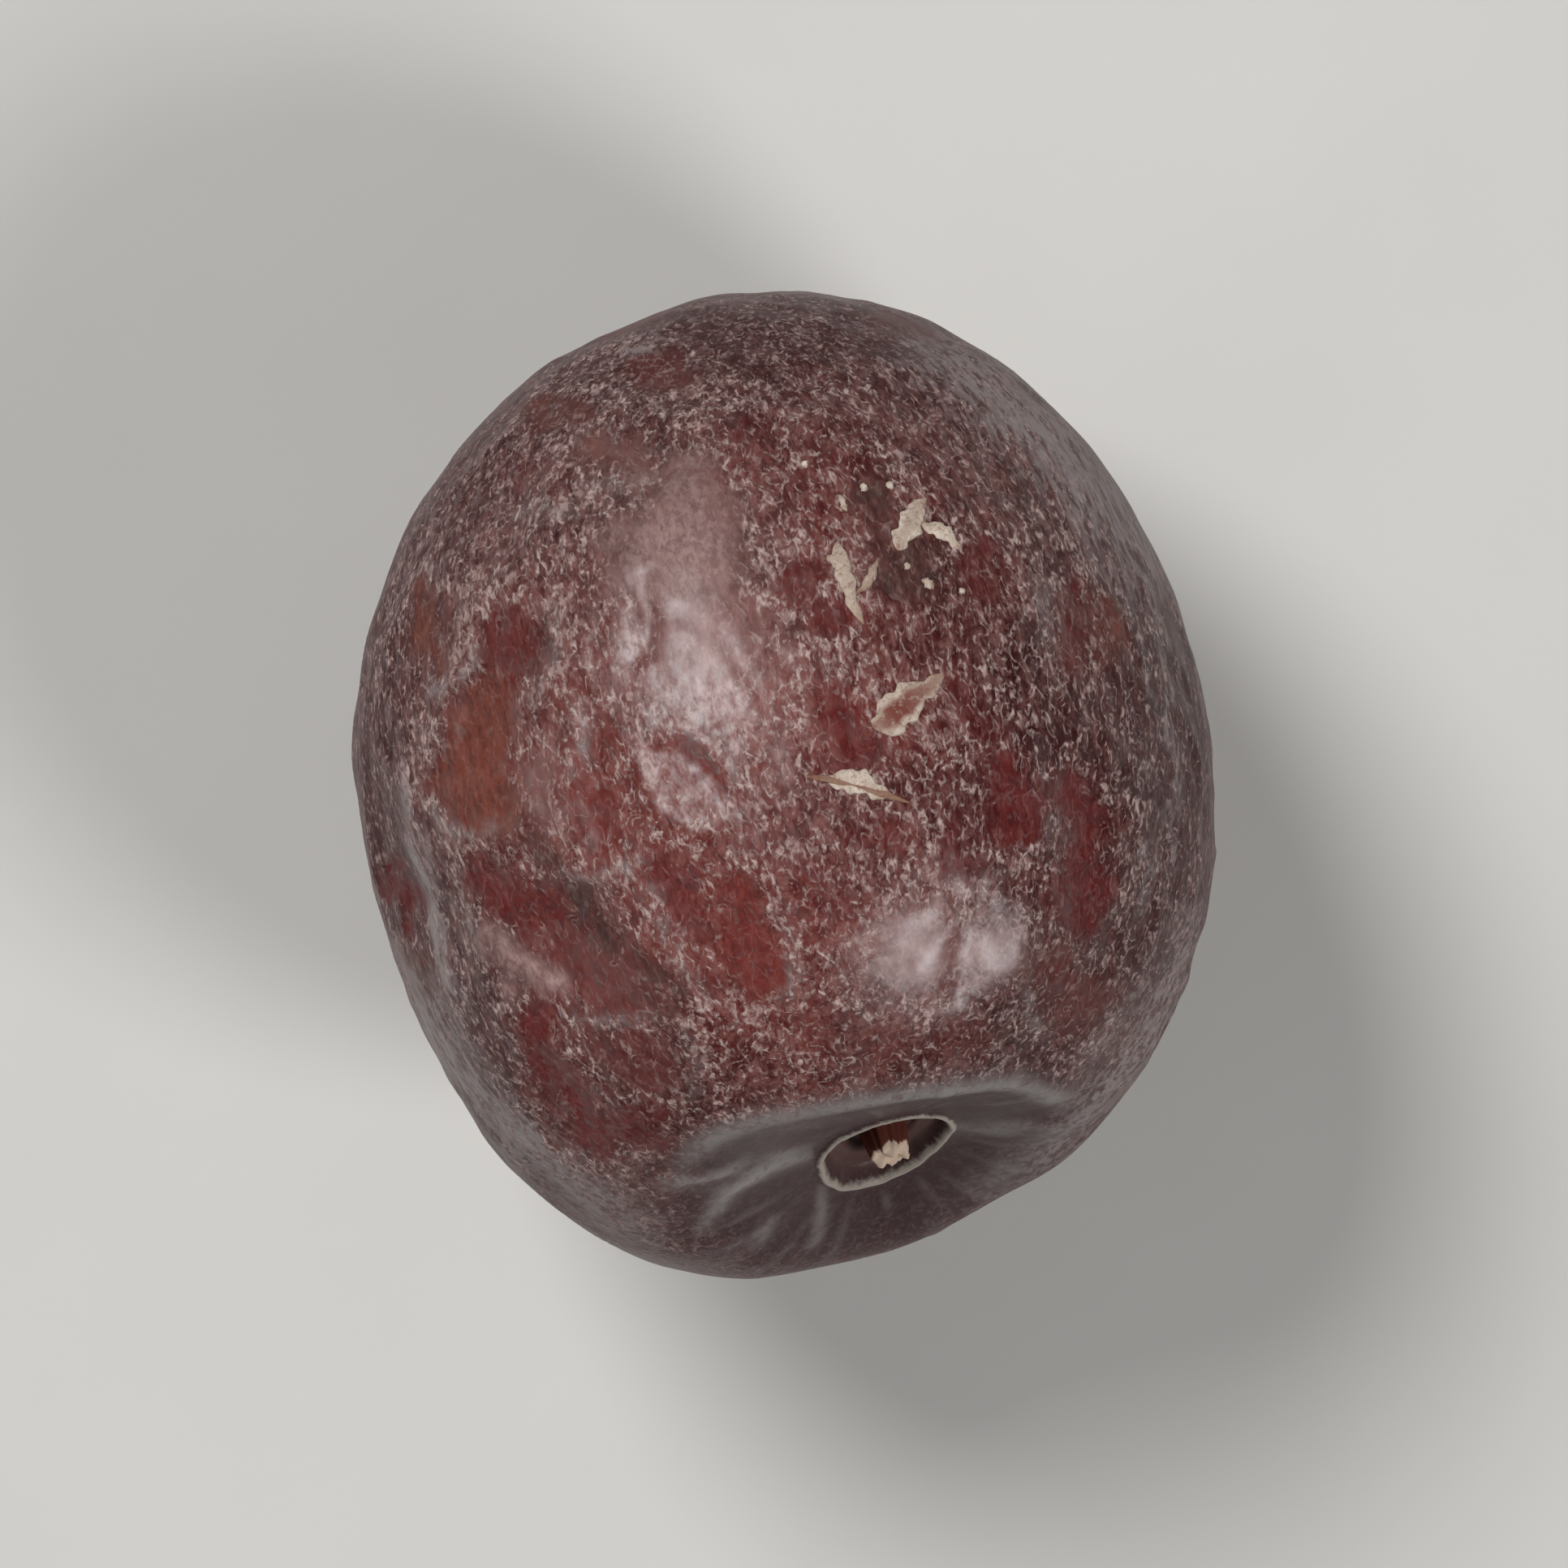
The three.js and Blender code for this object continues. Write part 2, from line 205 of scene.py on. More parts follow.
# Clean patches of the upper side: overlapping discs (seen place, radius), how deep the patch is pressed in,
# how bare of dust it is, and the tones of the skin there
PATCHES = [
    ([(-7.2, 2.0, 0.55), (-7.7, 1.1, 0.9), (-7.8, 0.1, 0.95), (-7.5, -0.8, 0.6)], 0.1, 0.85, dict(brown=1.0)),
    ([(-6.7, 3.5, 0.7), (-6.9, 2.7, 0.55)], 0.1, 0.8, dict(red=0.5, dark=0.4)),
    ([(-6.0, 3.6, 0.35), (-6.0, 3.0, 0.3)], 0.0, 0.7, dict(scab=0.5)),
    ([(-9.0, 4.5, 0.3), (-8.9, 3.7, 0.5), (-8.7, 2.8, 0.4)], 0.05, 0.85, dict(brown=1.0, scab=0.2)),
    ([(-4.6, 8.2, 0.5), (-3.7, 8.1, 0.55)], 0.03, 0.7, dict(brown=0.7, veil=0.2)),
    ([(-6.2, 9.1, 0.4), (-5.4, 9.2, 0.35)], 0.03, 0.6, dict(brown=0.6)),
    ([(-3.6, 10.2, 0.5), (-2.7, 10.1, 0.5)], 0.02, 0.5, dict(dark=0.5, brown=0.3)),
    ([(-0.9, 8.8, 0.4), (-0.6, 8.1, 0.4)], 0.0, 0.5, dict(dark=0.6)),
    ([(-6.4, 7.5, 0.4), (-5.6, 7.7, 0.4)], 0.0, 0.45, dict(red=0.5)),
    ([(-2.3, 7.5, 0.5), (-2.2, 6.6, 0.85), (-2.5, 5.7, 1.0), (-3.7, 5.3, 0.75), (-1.9, 5.1, 0.7)],
     0.0, 0.4, dict(veil=0.5)),
    ([(0.4, 4.9, 0.5), (0.9, 4.0, 0.6)], 0.03, 0.7, dict(dark=0.7, red=0.4)),
    ([(1.0, 2.2, 0.5), (1.3, 1.2, 0.6), (1.6, 0.4, 0.5)], 0.04, 0.75, dict(dark=0.8, red=0.4)),
    ([(-3.0, 0.5, 0.3), (-2.35, 0.25, 0.42), (-1.75, -0.25, 0.35)], 0.12, 0.9, dict(red=0.7)),
    ([(-4.6, 0.6, 0.35), (-4.5, 1.3, 0.3)], 0.0, 0.6, dict(dark=0.5)),
    ([(-4.95, -0.5, 0.4), (-4.85, -1.3, 0.4), (-4.5, -2.0, 0.35)], 0.05, 0.8, dict(red=0.7)),
    ([(-6.0, 0.0, 0.5), (-6.0, -0.8, 0.45)], 0.0, 0.5, dict(veil=0.45)),
    ([(-7.8, -2.5, 0.45), (-7.0, -2.9, 0.55), (-6.0, -3.3, 0.6)], 0.08, 0.9, dict(red=0.7, dark=0.6)),
    ([(-4.9, -3.1, 0.5), (-4.2, -3.9, 0.5), (-3.4, -4.8, 0.45), (-2.9, -5.6, 0.35)],
     0.08, 0.8, dict(scab=0.8)),
    ([(-6.2, -1.5, 0.4), (-5.7, -2.0, 0.4)], 0.0, 0.7, dict(scab=0.6)),
    ([(-2.9, -6.0, 0.4), (-2.7, -7.0, 0.4), (-2.5, -8.0, 0.4)], 0.0, 0.5, dict(scab=0.5)),
    ([(-5.3, -4.3, 0.7), (-4.4, -5.0, 0.7), (-3.8, -5.6, 0.5)], 0.05, 0.75, dict(red=0.6, veil=0.12)),
    # A painted highlight: the pale streak in the lower left dish, drawn as a strong veil
    ([(-7.4, -3.9, 0.05), (-6.85, -4.4, 0.15), (-6.35, -4.8, 0.22), (-5.85, -5.2, 0.2)],
     0.0, 0.6, dict(veil=1.7)),
    ([(-3.2, -2.4, 0.4), (-2.5, -2.9, 0.5), (-2.1, -3.4, 0.4)], 0.05, 0.85, dict(dark=0.6, red=0.5)),
    ([(-1.3, -3.0, 0.45), (-0.9, -3.8, 0.65), (-0.6, -4.7, 0.55), (-0.5, -5.3, 0.3)],
     0.05, 0.95, dict(brown=0.5, red=1.0)),
    ([(-6.2, -6.3, 0.45), (-5.8, -7.2, 0.5), (-5.3, -8.1, 0.6), (-4.7, -8.9, 0.5)],
     0.1, 0.95, dict(dark=1.0, red=0.6)),
    ([(-4.2, -6.8, 0.7), (-3.3, -7.2, 0.7)], 0.04, 0.6, dict(red=0.4, veil=0.08)),
    ([(-3.9, -8.6, 0.6), (-3.1, -8.8, 0.4)], 0.0, 0.8, dict(dark=0.9)),
    ([(5.5, 0.1, 0.5), (5.7, -0.7, 0.6), (5.7, -1.3, 0.5)], 0.06, 0.9, dict(dark=0.8, red=0.4)),
    ([(7.0, -0.4, 0.5), (7.5, -1.0, 0.55), (7.4, -1.9, 0.55), (7.5, -2.8, 0.6), (7.3, -3.6, 0.5)],
     0.07, 0.9, dict(dark=0.9, red=0.4)),
    ([(6.7, -4.8, 0.7), (7.3, -5.6, 0.8), (7.0, -6.2, 0.6)], 0.05, 0.5, dict(dark=0.5, brown=0.4)),
    ([(3.0, -4.6, 0.5), (3.3, -3.9, 0.5)], 0.05, 0.5, {}),
    # Painted shade: a dark line down the fold that splits the second highlight
    ([(4.7, -3.5, 0.05), (4.5, -4.3, 0.1), (4.35, -5.0, 0.05)], 0.0, 0.9, dict(dark=0.5)),
    ([(0.6, -2.6, 0.7), (1.4, -3.4, 0.6)], 0.0, 0.4, dict(red=0.5)),
    ([(0.8, -6.2, 0.7), (2.4, -6.6, 0.8), (4.2, -6.6, 0.7)], 0.0, 0.4, dict(red=0.4, brown=0.4)),
    ([(4.6, -2.2, 0.5), (4.3, -1.6, 0.4)], 0.0, 0.6, dict(dark=0.6)),
    ([(1.9, -1.3, 0.5), (2.6, -1.6, 0.4)], 0.03, 0.6, dict(dark=0.6)),
    ([(-9.7, -2.2, 0.1), (-9.5, -3.0, 0.2), (-9.25, -3.8, 0.1)], 0.3, 1.6, dict(dark=1.8)),
    ([(-9.1, -4.6, 0.3), (-8.9, -5.2, 0.25)], 0.04, 0.8, dict(brown=0.6, scab=0.3)),
    ([(2.3, 6.8, 0.6), (3.0, 5.6, 0.8), (2.6, 4.9, 0.6), (3.6, 4.8, 0.4)], 0.0, 0.7, dict(scab=0.75)),
    ([(4.9, 5.4, 0.5), (4.8, 4.8, 0.4)], 0.0, 0.7, dict(red=0.6)),
    ([(7.1, 4.5, 0.3), (7.2, 3.6, 0.35), (7.1, 2.7, 0.3)], 0.06, 0.8, dict(dark=0.8, red=0.4)),
    ([(8.0, 4.2, 0.4), (8.2, 3.4, 0.4)], 0.0, 0.7, dict(brown=0.8)),
    ([(2.2, 1.4, 0.5), (2.7, 0.8, 0.5)], 0.0, 0.6, dict(red=0.8)),
    ([(4.4, 2.0, 0.6), (4.9, 1.2, 0.6)], 0.0, 0.45, dict(red=0.5)),
]
PATCH_BLEND = 0.25
PATCH_EDGE = 0.48
PATCH_BORDER = 0.3
DENT_EDGE = (-0.7, 0.3)

# How the outlines of patches and folds wander: waves over the skin, and how far they move each
WANDER_WAVES = 24
WANDER_LENGTHS = (0.7, 2.4)
PATCH_WANDER = 0.16
FOLD_WANDER = 0.048

# Clean patches of the flanks: the middles of some of the net's dishes, picked by a repeatable draw
SIDE_EDGE = (0.05, 0.35)
CLEAN_EDGE = (0.15, 0.75)
PICKED = (0.35, 0.6)
RED_FROM = 0.75
SIDE_BARE, SIDE_DARK, SIDE_RED = 0.75, 0.6, 0.5

# The ridges between dishes, by the way in from a dish's border
RIDGE_EDGE = (0.05, 0.3)

# Folds of the upper side: seen start, bend and end, width, depth (a ridge where it is negative), and how
# thickly pale dust lies along it
FOLDS = [
    ((-3.6, 5.2), (-3.3, 4.0), (-3.7, 2.6), 0.24, 0.1, 0.0),
    ((-3.6, 1.3), (-1.9, 1.3), (-1.0, -0.4), 0.3, -0.09, 0.3),
    ((-3.6, -0.3), (-2.6, -1.1), (-1.5, -1.6), 0.45, -0.09, 0.0),
    ((4.9, -2.6), (4.55, -4.2), (4.15, -5.8), 0.38, 0.09, 0.0),
    ((6.15, -2.8), (5.9, -4.2), (5.5, -5.8), 0.5, -0.1, 0.0),
    ((-9.1, 2.1), (-8.0, 2.1), (-7.6, 3.4), 0.16, -0.03, 0.6),
    ((-5.7, 4.4), (-5.4, 3.0), (-6.3, 1.6), 0.18, -0.03, 0.5),
    ((-5.2, 2.2), (-4.9, 1.0), (-5.3, -0.2), 0.18, -0.03, 0.4),
    ((-5.0, 7.3), (-4.1, 7.0), (-3.1, 7.5), 0.16, -0.02, 0.4),
    ((-4.2, 10.6), (-3.5, 10.9), (-2.9, 10.9), 0.2, -0.02, 0.5),
    ((-6.8, 6.4), (-6.0, 6.8), (-5.1, 6.3), 0.18, -0.02, 0.4),
    ((-9.0, -0.6), (-8.0, -2.0), (-6.7, -0.9), 0.2, -0.04, 0.5),
    ((-5.6, -2.3), (-4.6, -2.7), (-3.4, -2.0), 0.2, -0.04, 0.5),
    ((-3.4, -2.6), (-2.9, -4.2), (-1.8, -5.6), 0.2, -0.04, 0.4),
    ((-5.6, -5.8), (-4.4, -6.2), (-3.0, -5.9), 0.2, -0.04, 0.4),
    ((0.1, -2.9), (0.3, -4.4), (0.0, -5.8), 0.18, -0.03, 0.3),
    ((-2.5, -6.0), (-2.1, -7.2), (-2.4, -8.2), 0.18, -0.03, 0.3),
    ((-9.6, 0.5), (-9.0, -2.6), (-8.0, -6.2), 0.2, -0.08, 1.0),
    ((-9.75, -4.0), (-8.4, -8.6), (-3.0, -11.6), 0.5, -0.02, 1.0),
    ((-8.3, -6.0), (-7.3, -8.6), (-4.8, -10.9), 0.16, -0.04, 0.5),
    ((-7.2, -8.6), (-5.2, -10.6), (-3.0, -11.7), 0.16, -0.05, 0.5),
    ((6.3, 4.9), (6.5, 4.0), (6.4, 3.0), 0.18, -0.03, 0.5),
    ((6.3, 1.2), (6.5, -0.6), (6.4, -2.2), 0.16, -0.03, 0.3),
    ((8.9, -1.0), (9.0, -2.4), (8.9, -3.9), 0.18, -0.04, 0.5),
    ((5.9, -5.2), (6.1, -6.0), (6.6, -6.7), 0.16, -0.03, 0.4),
    ((3.0, 11.2), (7.05, 8.6), (9.7, 4.4), 0.8, -0.02, 0.85),
    ((4.6, 9.4), (6.6, 7.6), (8.2, 4.8), 0.16, -0.04, 0.5),
    ((9.0, 5.4), (9.9, 1.6), (9.6, -2.6), 0.16, -0.04, 0.6),
    ((8.0, 6.4), (9.2, 3.4), (9.3, 0.0), 0.14, -0.03, 0.3),
    ((9.3, -3.6), (8.9, -5.6), (7.1, -7.5), 0.18, -0.04, 0.4),
    ((10.3, -3.0), (9.4, -7.9), (4.6, -10.6), 0.5, -0.02, 0.7),
    ((0.8, -9.45), (-0.9, -9.3), (-2.3, -11.5), 0.18, -0.1, 0.9),
    ((-0.8, -9.5), (-2.0, -10.1), (-3.2, -10.0), 0.18, -0.1, 0.8),
    ((0.95, -10.2), (0.95, -11.0), (0.7, -12.0), 0.18, -0.04, 0.5),
    ((-0.2, -10.9), (-0.5, -11.5), (-0.9, -12.0), 0.16, -0.04, 0.4),
    ((3.9, -8.8), (5.7, -8.8), (7.8, -8.5), 0.18, -0.05, 0.5),
]
FOLD_STEPS = 40
FOLD_FADE = 0.5

# Veils of smooth bloom on the upper side: seen place, spread and strength; the first, third and fourth are
# also painted highlights, paler skin where the lamps shine
VEILS_AND_HIGHLIGHTS = [
    (-2.0, 3.3, 1.8, 0.5),
    (-2.7, 6.0, 1.7, 0.45),
    (3.2, -4.3, 1.15, 0.7),
    (5.35, -4.3, 0.65, 0.8),
    (-8.6, -7.6, 1.4, 0.3),
    (-4.6, -11.0, 1.6, 0.3),
    (8.6, -6.4, 1.2, 0.2),
]

# Thicker and thinner dust on the upper side: seen place, spread and strength; the thinner dust at the top and
# on the right leaves them darker, partly as painted shade
DUST_AND_SHADE_CLOUDS = [
    (-6.5, 5.5, 3.0, 0.2),
    (0.0, 11.0, 3.0, -0.1),
    (6.5, 7.5, 3.0, 0.05),
    (8.0, 1.0, 3.5, -0.3),
    (-9.0, 1.0, 2.0, 0.1),
    (-5.0, -1.0, 2.5, -0.15),
    (4.5, -7.0, 2.5, -0.2),
    (8.0, -5.0, 2.2, -0.3),
    (-5.0, -5.0, 2.0, -0.2),
    (-8.4, -7.6, 1.6, -0.3),
    (0.5, 2.0, 3.0, 0.12),
]
DUST_MEAN = 0.5

# Where the skin under the bloom is warmer and lighter: seen place, spread and strength
WARM_WASHES = [
    (-6.0, 1.0, 4.5, 0.5),
    (-2.0, -3.5, 4.5, 0.5),
    (3.5, -3.5, 2.5, 0.3),
    (0.5, 3.0, 4.0, 0.35),
    (1.5, 8.5, 3.5, 0.35),
]
UNDERSIDE_WARMTH = 0.3

# The corky flecks on the upper side: seen ends, width, bow to the side (as a share of the length), where
# along it the fleck is widest, how pale it is, and how far its middle shows the brown core
FLECKS = [
    ((2.8, 5.6), (3.55, 6.95), 0.6, 0.05, 0.4, 1.0, 0.35),
    ((3.4, 6.3), (4.4, 5.65), 0.34, 0.06, 0.45, 1.0, 0.1),
    ((1.3, 5.8), (1.97, 3.75), 0.42, -0.06, 0.4, 0.8, 0.2),
    ((1.05, 5.45), (1.7, 4.7), 0.28, 0.06, 0.4, 0.7, 0.0),
    ((2.3, 5.4), (1.75, 4.5), 0.24, 0.1, 0.5, 0.5, 0.0),
    ((1.35, 7.0), (1.55, 6.55), 0.16, 0.0, 0.5, 0.8, 0.0),
    ((2.2, 1.15), (3.95, 2.5), 0.95, -0.03, 0.33, 0.85, 1.0),
    ((0.5, 0.0), (3.15, -0.8), 0.24, 0.03, 0.5, 0.3, 0.3),
    ((1.05, -0.05), (2.7, -0.62), 0.6, 0.04, 0.45, 1.0, 0.15),
    ((0.42, 7.76), (0.58, 7.64), 0.16, 0.0, 0.5, 1.0, 0.0),
    ((1.88, 7.22), (2.06, 7.08), 0.17, 0.0, 0.5, 1.0, 0.0),
    ((2.53, 7.27), (2.72, 7.13), 0.16, 0.0, 0.5, 1.0, 0.0),
    ((2.96, 5.28), (3.12, 5.15), 0.15, 0.0, 0.5, 1.0, 0.0),
    ((3.4, 4.9), (3.7, 4.65), 0.22, 0.1, 0.5, 0.8, 0.0),
    ((4.33, 4.67), (4.47, 4.53), 0.13, 0.0, 0.5, 0.9, 0.0),
]
FLECK_THICKNESS = 0.09
FLECK_TAPER = 0.7
FLECK_RAGGEDNESS = 0.2
FLECK_PALE_LEAST = 0.35
CORE_EDGE = (0.35, 0.8)
FLECK_STEPS, FLECK_SIDES = 48, 16
# Sines that shake a fleck's edges: count along it, share, and how far the two edges are out of step
SHAKE_SINES = ((8, 1.0, 2), (19, 0.8, -1), (37, 0.4, 1))

# The grid of the skin: columns round the axis, rows over the scar and rows over the rest
COLUMNS = 384
SCAR_ROWS = 46
BODY_ROWS = 204
SCAR_ANGLE = 0.22
HALVINGS = 40
CHUNK = 6000
SEED = 8

# Numbers behind the repeatable scatter
SCATTER_STEP = 12.9898
SCATTER_SALT = 78.233
SCATTER_SCALE = 43758.5453

# Colours, in screen values
DEEP_MAROON = (52, 14, 16)
WARM_MAROON = (108, 47, 41)
TONE_COLOURS = dict(brown=(116, 58, 44), red=(108, 38, 34), dark=(94, 24, 23), scab=(58, 46, 42))
ROSE_BLOOM = (156, 111, 105)
VEIL_AND_HIGHLIGHT_ROSE = (170, 138, 133)
PALE_BLOOM = (188, 163, 157)
STEM_GREY = (71, 58, 59)
STREAK_GREY = (132, 112, 113)
CREST_GREY = (150, 145, 142)
RIM_BEIGE = (160, 150, 140)
PIT_BROWN = (86, 64, 60)
STUB_BROWN = (92, 48, 40)
STUB_CREAM = (206, 182, 162)
CORK_TAN = (134, 98, 76)
CORK_PALE = (220, 208, 192)
CORK_CORE = (116, 60, 50)
PAPER = (214, 212, 208)
PAPER_SHADE = (208, 206, 202)

# Grains of the skin's colour: size in millimetres, detail, roughness, distortion, and how far they are drawn
# out along the fruit
GRAINS = dict(
    slow=(2.6, 2.0),
    clump=(0.75, 3.0, 0.65),
    mottle=(0.3, 3.0, 0.7, 0.5, 1.5),
    flake=(0.2, 2.0, 0.6, 0.8, 2.0),
    grit=(0.15, 2.0, 0.65, 0.6, 1.8),
    thread=(0.34, 1.0, 0.5, 0.8, 1.8),
    streak=(0.22, 2.0, 0.6, 0.2, 7.0),
)
GRAIN_MEAN = 0.5

# Marks of the skin and the cork, and of the painted shade: the values at which each sets in and is full, and
# how strong it gets
BARE = (0.9, 1.5)
VEIL_AND_HIGHLIGHT_EDGE = (0.1, 0.75)
WARMTH = (0.6, 1.5)
# SHADE darkens the flanks: painted shade, partly the skin's own darker colour
SHADE = (0.2, 1.2, 0.62)
DARK_GRAIN = (0.46, 0.62, 0.55)
LIGHT_GRAIN = (0.48, 0.66, 0.3)
FILM = (0.53, 0.9)
VEIL_AND_HIGHLIGHT_GRAIN = (0.38, 0.62, 0.5)
THREAD_EDGE = (0.015, 0.06)
THREAD_BREAKS = (0.55, 0.75)
FAINT_SPECKS = (0.56, 0.68, 0.22)
FULL_SPECKS = (0.66, 0.78, 0.38)
STREAKS = (0.58, 0.74, 0.4)
STROKES = (0.42, 0.6, 0.6)
LINE_GRAIN = (0.15, 0.55)
RIM_EDGE = (1.0, 1.5)
STUB_BREAK = (0.7, 1.0)
# The blossom end's dark middle is painted shade in its dimple
DIMPLE_SHADE = (0.5, 1.2)
SHINE = (0.36, 0.62)
SPLITS = (0.52, 0.66, 0.45)
CORE_GRAIN = (0.2, 0.5)

# The stage: sizes in millimetres, and lamps with the direction they stand in, size and power
FLOOR_HALF = 600.0
CAMERA_HEIGHT = 450.0
CAMERA_LENS = 400.0
LAMP_DISTANCE = 600.0
LAMPS = [
    dict(name="window", towards=(-0.46, 0.48, 0.85), size=260.0, watts=2.6),
    dict(name="second_window", towards=(0.62, -0.42, 0.67), size=185.0, watts=1.75),
    dict(name="low_window", towards=(-0.9, -0.25, 0.42), size=420.0, watts=0.15),
]
ROOM_LIGHT = 0.11
ROOM_COLOUR = (0.95, 0.97, 1.0, 1.0)


def smoothstep(value, low, high):
    """0 up to low, 1 from high on, and a soft S between them."""
    share = np.clip((value - low) / (high - low), 0, 1)
    return share * share * (3 - 2 * share)


def bell(offset, spread):
    """A bell of height 1 at offset 0, down to 1/e at the given spread."""
    return np.exp(-((offset / spread) ** 2))


def scatter(index, salt):
    """Repeatable numbers from 0 to 1 for whole numbers and a salt: the fraction of a large sine."""
    wave = np.sin(index * SCATTER_STEP + salt * SCATTER_SALT) * SCATTER_SCALE
    return wave - np.floor(wave)


def unit(vectors):
    """The vectors, made one long."""
    return vectors / np.linalg.norm(vectors, axis=-1, keepdims=True)


def fruit_frame():
    """The fruit's own frame as rows: right across it, front towards the sky, stem along its axis."""
    stem = np.array([
        math.cos(AXIS_RISE) * math.sin(AXIS_TURN),
        -math.cos(AXIS_RISE) * math.cos(AXIS_TURN),
        math.sin(AXIS_RISE),
    ])
    front = unit(np.array([0.0, 0.0, 1.0]) - stem[2] * stem)
    return np.array([np.cross(front, stem), front, stem])


FRUIT_FRAME = fruit_frame()


def oval_radius(directions):
    """Distance from the middle to the oval: a superellipse along the axis whose power grows stemwards."""
    across = np.hypot(directions[:, 0] / HALF_WIDTH, directions[:, 1] / HALF_THICKNESS)
    along = np.abs(directions[:, 2]) / END_REACH
    share = smoothstep(directions[:, 2], *SQUARENESS_GROWS)
    power = BLOSSOM_SQUARENESS + (STEM_SQUARENESS - BLOSSOM_SQUARENESS) * share
    return (across ** power + along ** power) ** (-1 / power)


def directions_under(seen):
    """Local directions of the oval's upper side under seen places: the height is found by halving."""
    low = np.zeros(len(seen))
    high = np.full(len(seen), 2 * HALF_THICKNESS)
    for _ in range(HALVINGS):
        height = (low + high) / 2
        local = np.column_stack([seen, height]) @ FRUIT_FRAME.T
        inside = np.linalg.norm(local, axis=1) < oval_radius(unit(local))
        low = np.where(inside, height, low)
        high = np.where(inside, high, height)
    return unit(local)


def net_points(directions, stretch):
    """Directions as points of the net's space: shrunk along the axis, then each axis bent by the others."""
    x, y, z = directions[:, 0], directions[:, 1], directions[:, 2] * stretch

    def bend(slow, quick, phase):
        return np.sin(SLOW_WAVES * slow + phase) + QUICK_SHARE * np.sin(QUICK_WAVES * quick + 3 * phase)

    bends = [bend(y, z, WAVE_PHASES[0]), bend(z, x, WAVE_PHASES[1]), bend(x, y, WAVE_PHASES[2])]
    return np.column_stack([x, y, z]) + BORDER_WANDER * np.column_stack(bends)


def spiral(count, nudge):
    """Directions evenly spread along a spiral from the stem to the blossom end, each nudged off it."""
    index = np.arange(count)
    height = 1 - 2 * (index + 0.5) / count
    width = np.sqrt(1 - height ** 2)
    turn = index * GOLDEN_ANGLE
    even = np.column_stack([width * np.cos(turn), width * np.sin(turn), height])
    nudges = 2 * np.column_stack([scatter(index, salt) for salt in (1, 2, 3)]) - 1
    return unit(even + nudge * nudges)


def underside_share(directions):
    """0 on the upper side, 1 underneath."""
    return smoothstep(-directions[:, 1], *UNDERSIDE)


def net_dishes():
    """Directions, sizes and depths of the dishes: the upper ones, then the spiral's that keep clear."""
    upper = directions_under(UPPER_DISHES[:, :2])
    rest = spiral(SPIRAL_DISHES, SPIRAL_NUDGE)
    index = np.arange(SPIRAL_DISHES)
    size = SPIRAL_SIZE_LEAST + (SPIRAL_SIZE_MOST - SPIRAL_SIZE_LEAST) * scatter(index, 4)
    flank = FLANK_DEPTH_SHARE + (1 - FLANK_DEPTH_SHARE) * underside_share(rest)
    depth = SPIRAL_DEPTH * flank * (SPIRAL_DEPTH_LEAST + (1 - SPIRAL_DEPTH_LEAST) * scatter(index, 5))
    gaps = np.linalg.norm(rest[:, None] - upper[None], axis=2)
    clear = gaps.min(axis=1) >= CLEAR_OF_UPPER
    return (
        np.concatenate([upper, rest[clear]]),
        np.concatenate([UPPER_DISHES[:, 2], size[clear]]),
        np.concatenate([UPPER_DISHES[:, 3], depth[clear]]),
    )


def two_nearest(points, middles, sizes):
    """Distances, over the size, from points to their nearest and second middle, and which is nearest."""
    nearest, second, which = [], [], []
    for start in range(0, len(points), CHUNK):
        part = points[start:start + CHUNK]
        squares = (part ** 2).sum(1)[:, None] + (middles ** 2).sum(1) - 2 * part @ middles.T
        distances = np.sqrt(np.maximum(squares, 0)) / sizes
        pair = np.partition(distances, 1, axis=1)
        nearest.append(pair[:, 0])
        second.append(pair[:, 1])
        which.append(distances.argmin(axis=1))
    return np.concatenate(nearest), np.concatenate(second), np.concatenate(which)


def net_relief(directions, middles, sizes, stretch, spacing):
    """Share of a dish's depth: none on a border, most at a middle, less in crowded dishes.

    Also gives how far in from the border each direction is, and which dish it is in.
    """
    nearest, second, which = two_nearest(
        net_points(directions, stretch), net_points(middles, stretch), sizes
    )
    inward = (second - nearest) / (second + nearest)
    rounded = np.hypot(inward, BORDER_SOFTNESS) - BORDER_SOFTNESS
    fullness = np.minimum(1, (second + nearest) / spacing)
    return fullness * rounded * (2 - rounded), inward, which


def waves(directions, count, lengths, seed):
    """Unevenness from -1 to 1 or so: sines along many seeded directions, with lengths in millimetres."""
    draw = np.random.default_rng(seed)
    towards = unit(draw.normal(size=(count, 3)))
    length = draw.uniform(*lengths, size=count)
    phase = draw.uniform(0, 2 * math.pi, size=count)
    run = directions @ towards.T * HALF_WIDTH
    return np.sin(2 * math.pi * run / length + phase).sum(axis=1) / math.sqrt(count / 2)


def crest_radius(turn):
    """Distance of the stem end's crest from the axis: a circle that flares out to one side."""
    return CREST_RADIUS + CREST_FLARE * np.exp((np.cos(turn - FLARE_TURN) - 1) / FLARE_SPREAD)


def lip_share(turn):
    """1 along the upper part of the crest, 0 round the rest of it."""
    return smoothstep(np.cos(turn - LIP_TURN), *LIP_SETS_IN)


def basin_rise(turn, radius):
    """Rise of the basin and its crest: a flat floor with steep sides, and a lip on the crest's upper part."""
    crest = crest_radius(turn)
    basin = BASIN_DEPTH * np.exp(-((radius / (BASIN_SHARE * crest)) ** BASIN_STEEPNESS))
    return LIP_HEIGHT * lip_share(turn) * bell(radius - crest, LIP_WIDTH) - basin


def furrow_wave(turn):
    """0 on the lines between the furrows, 1 in their middles: a sine round the axis that sways to and fro."""
    return 0.5 + 0.5 * np.sin(FURROW_COUNT * turn + FURROW_SWAY * np.sin(2 * turn))


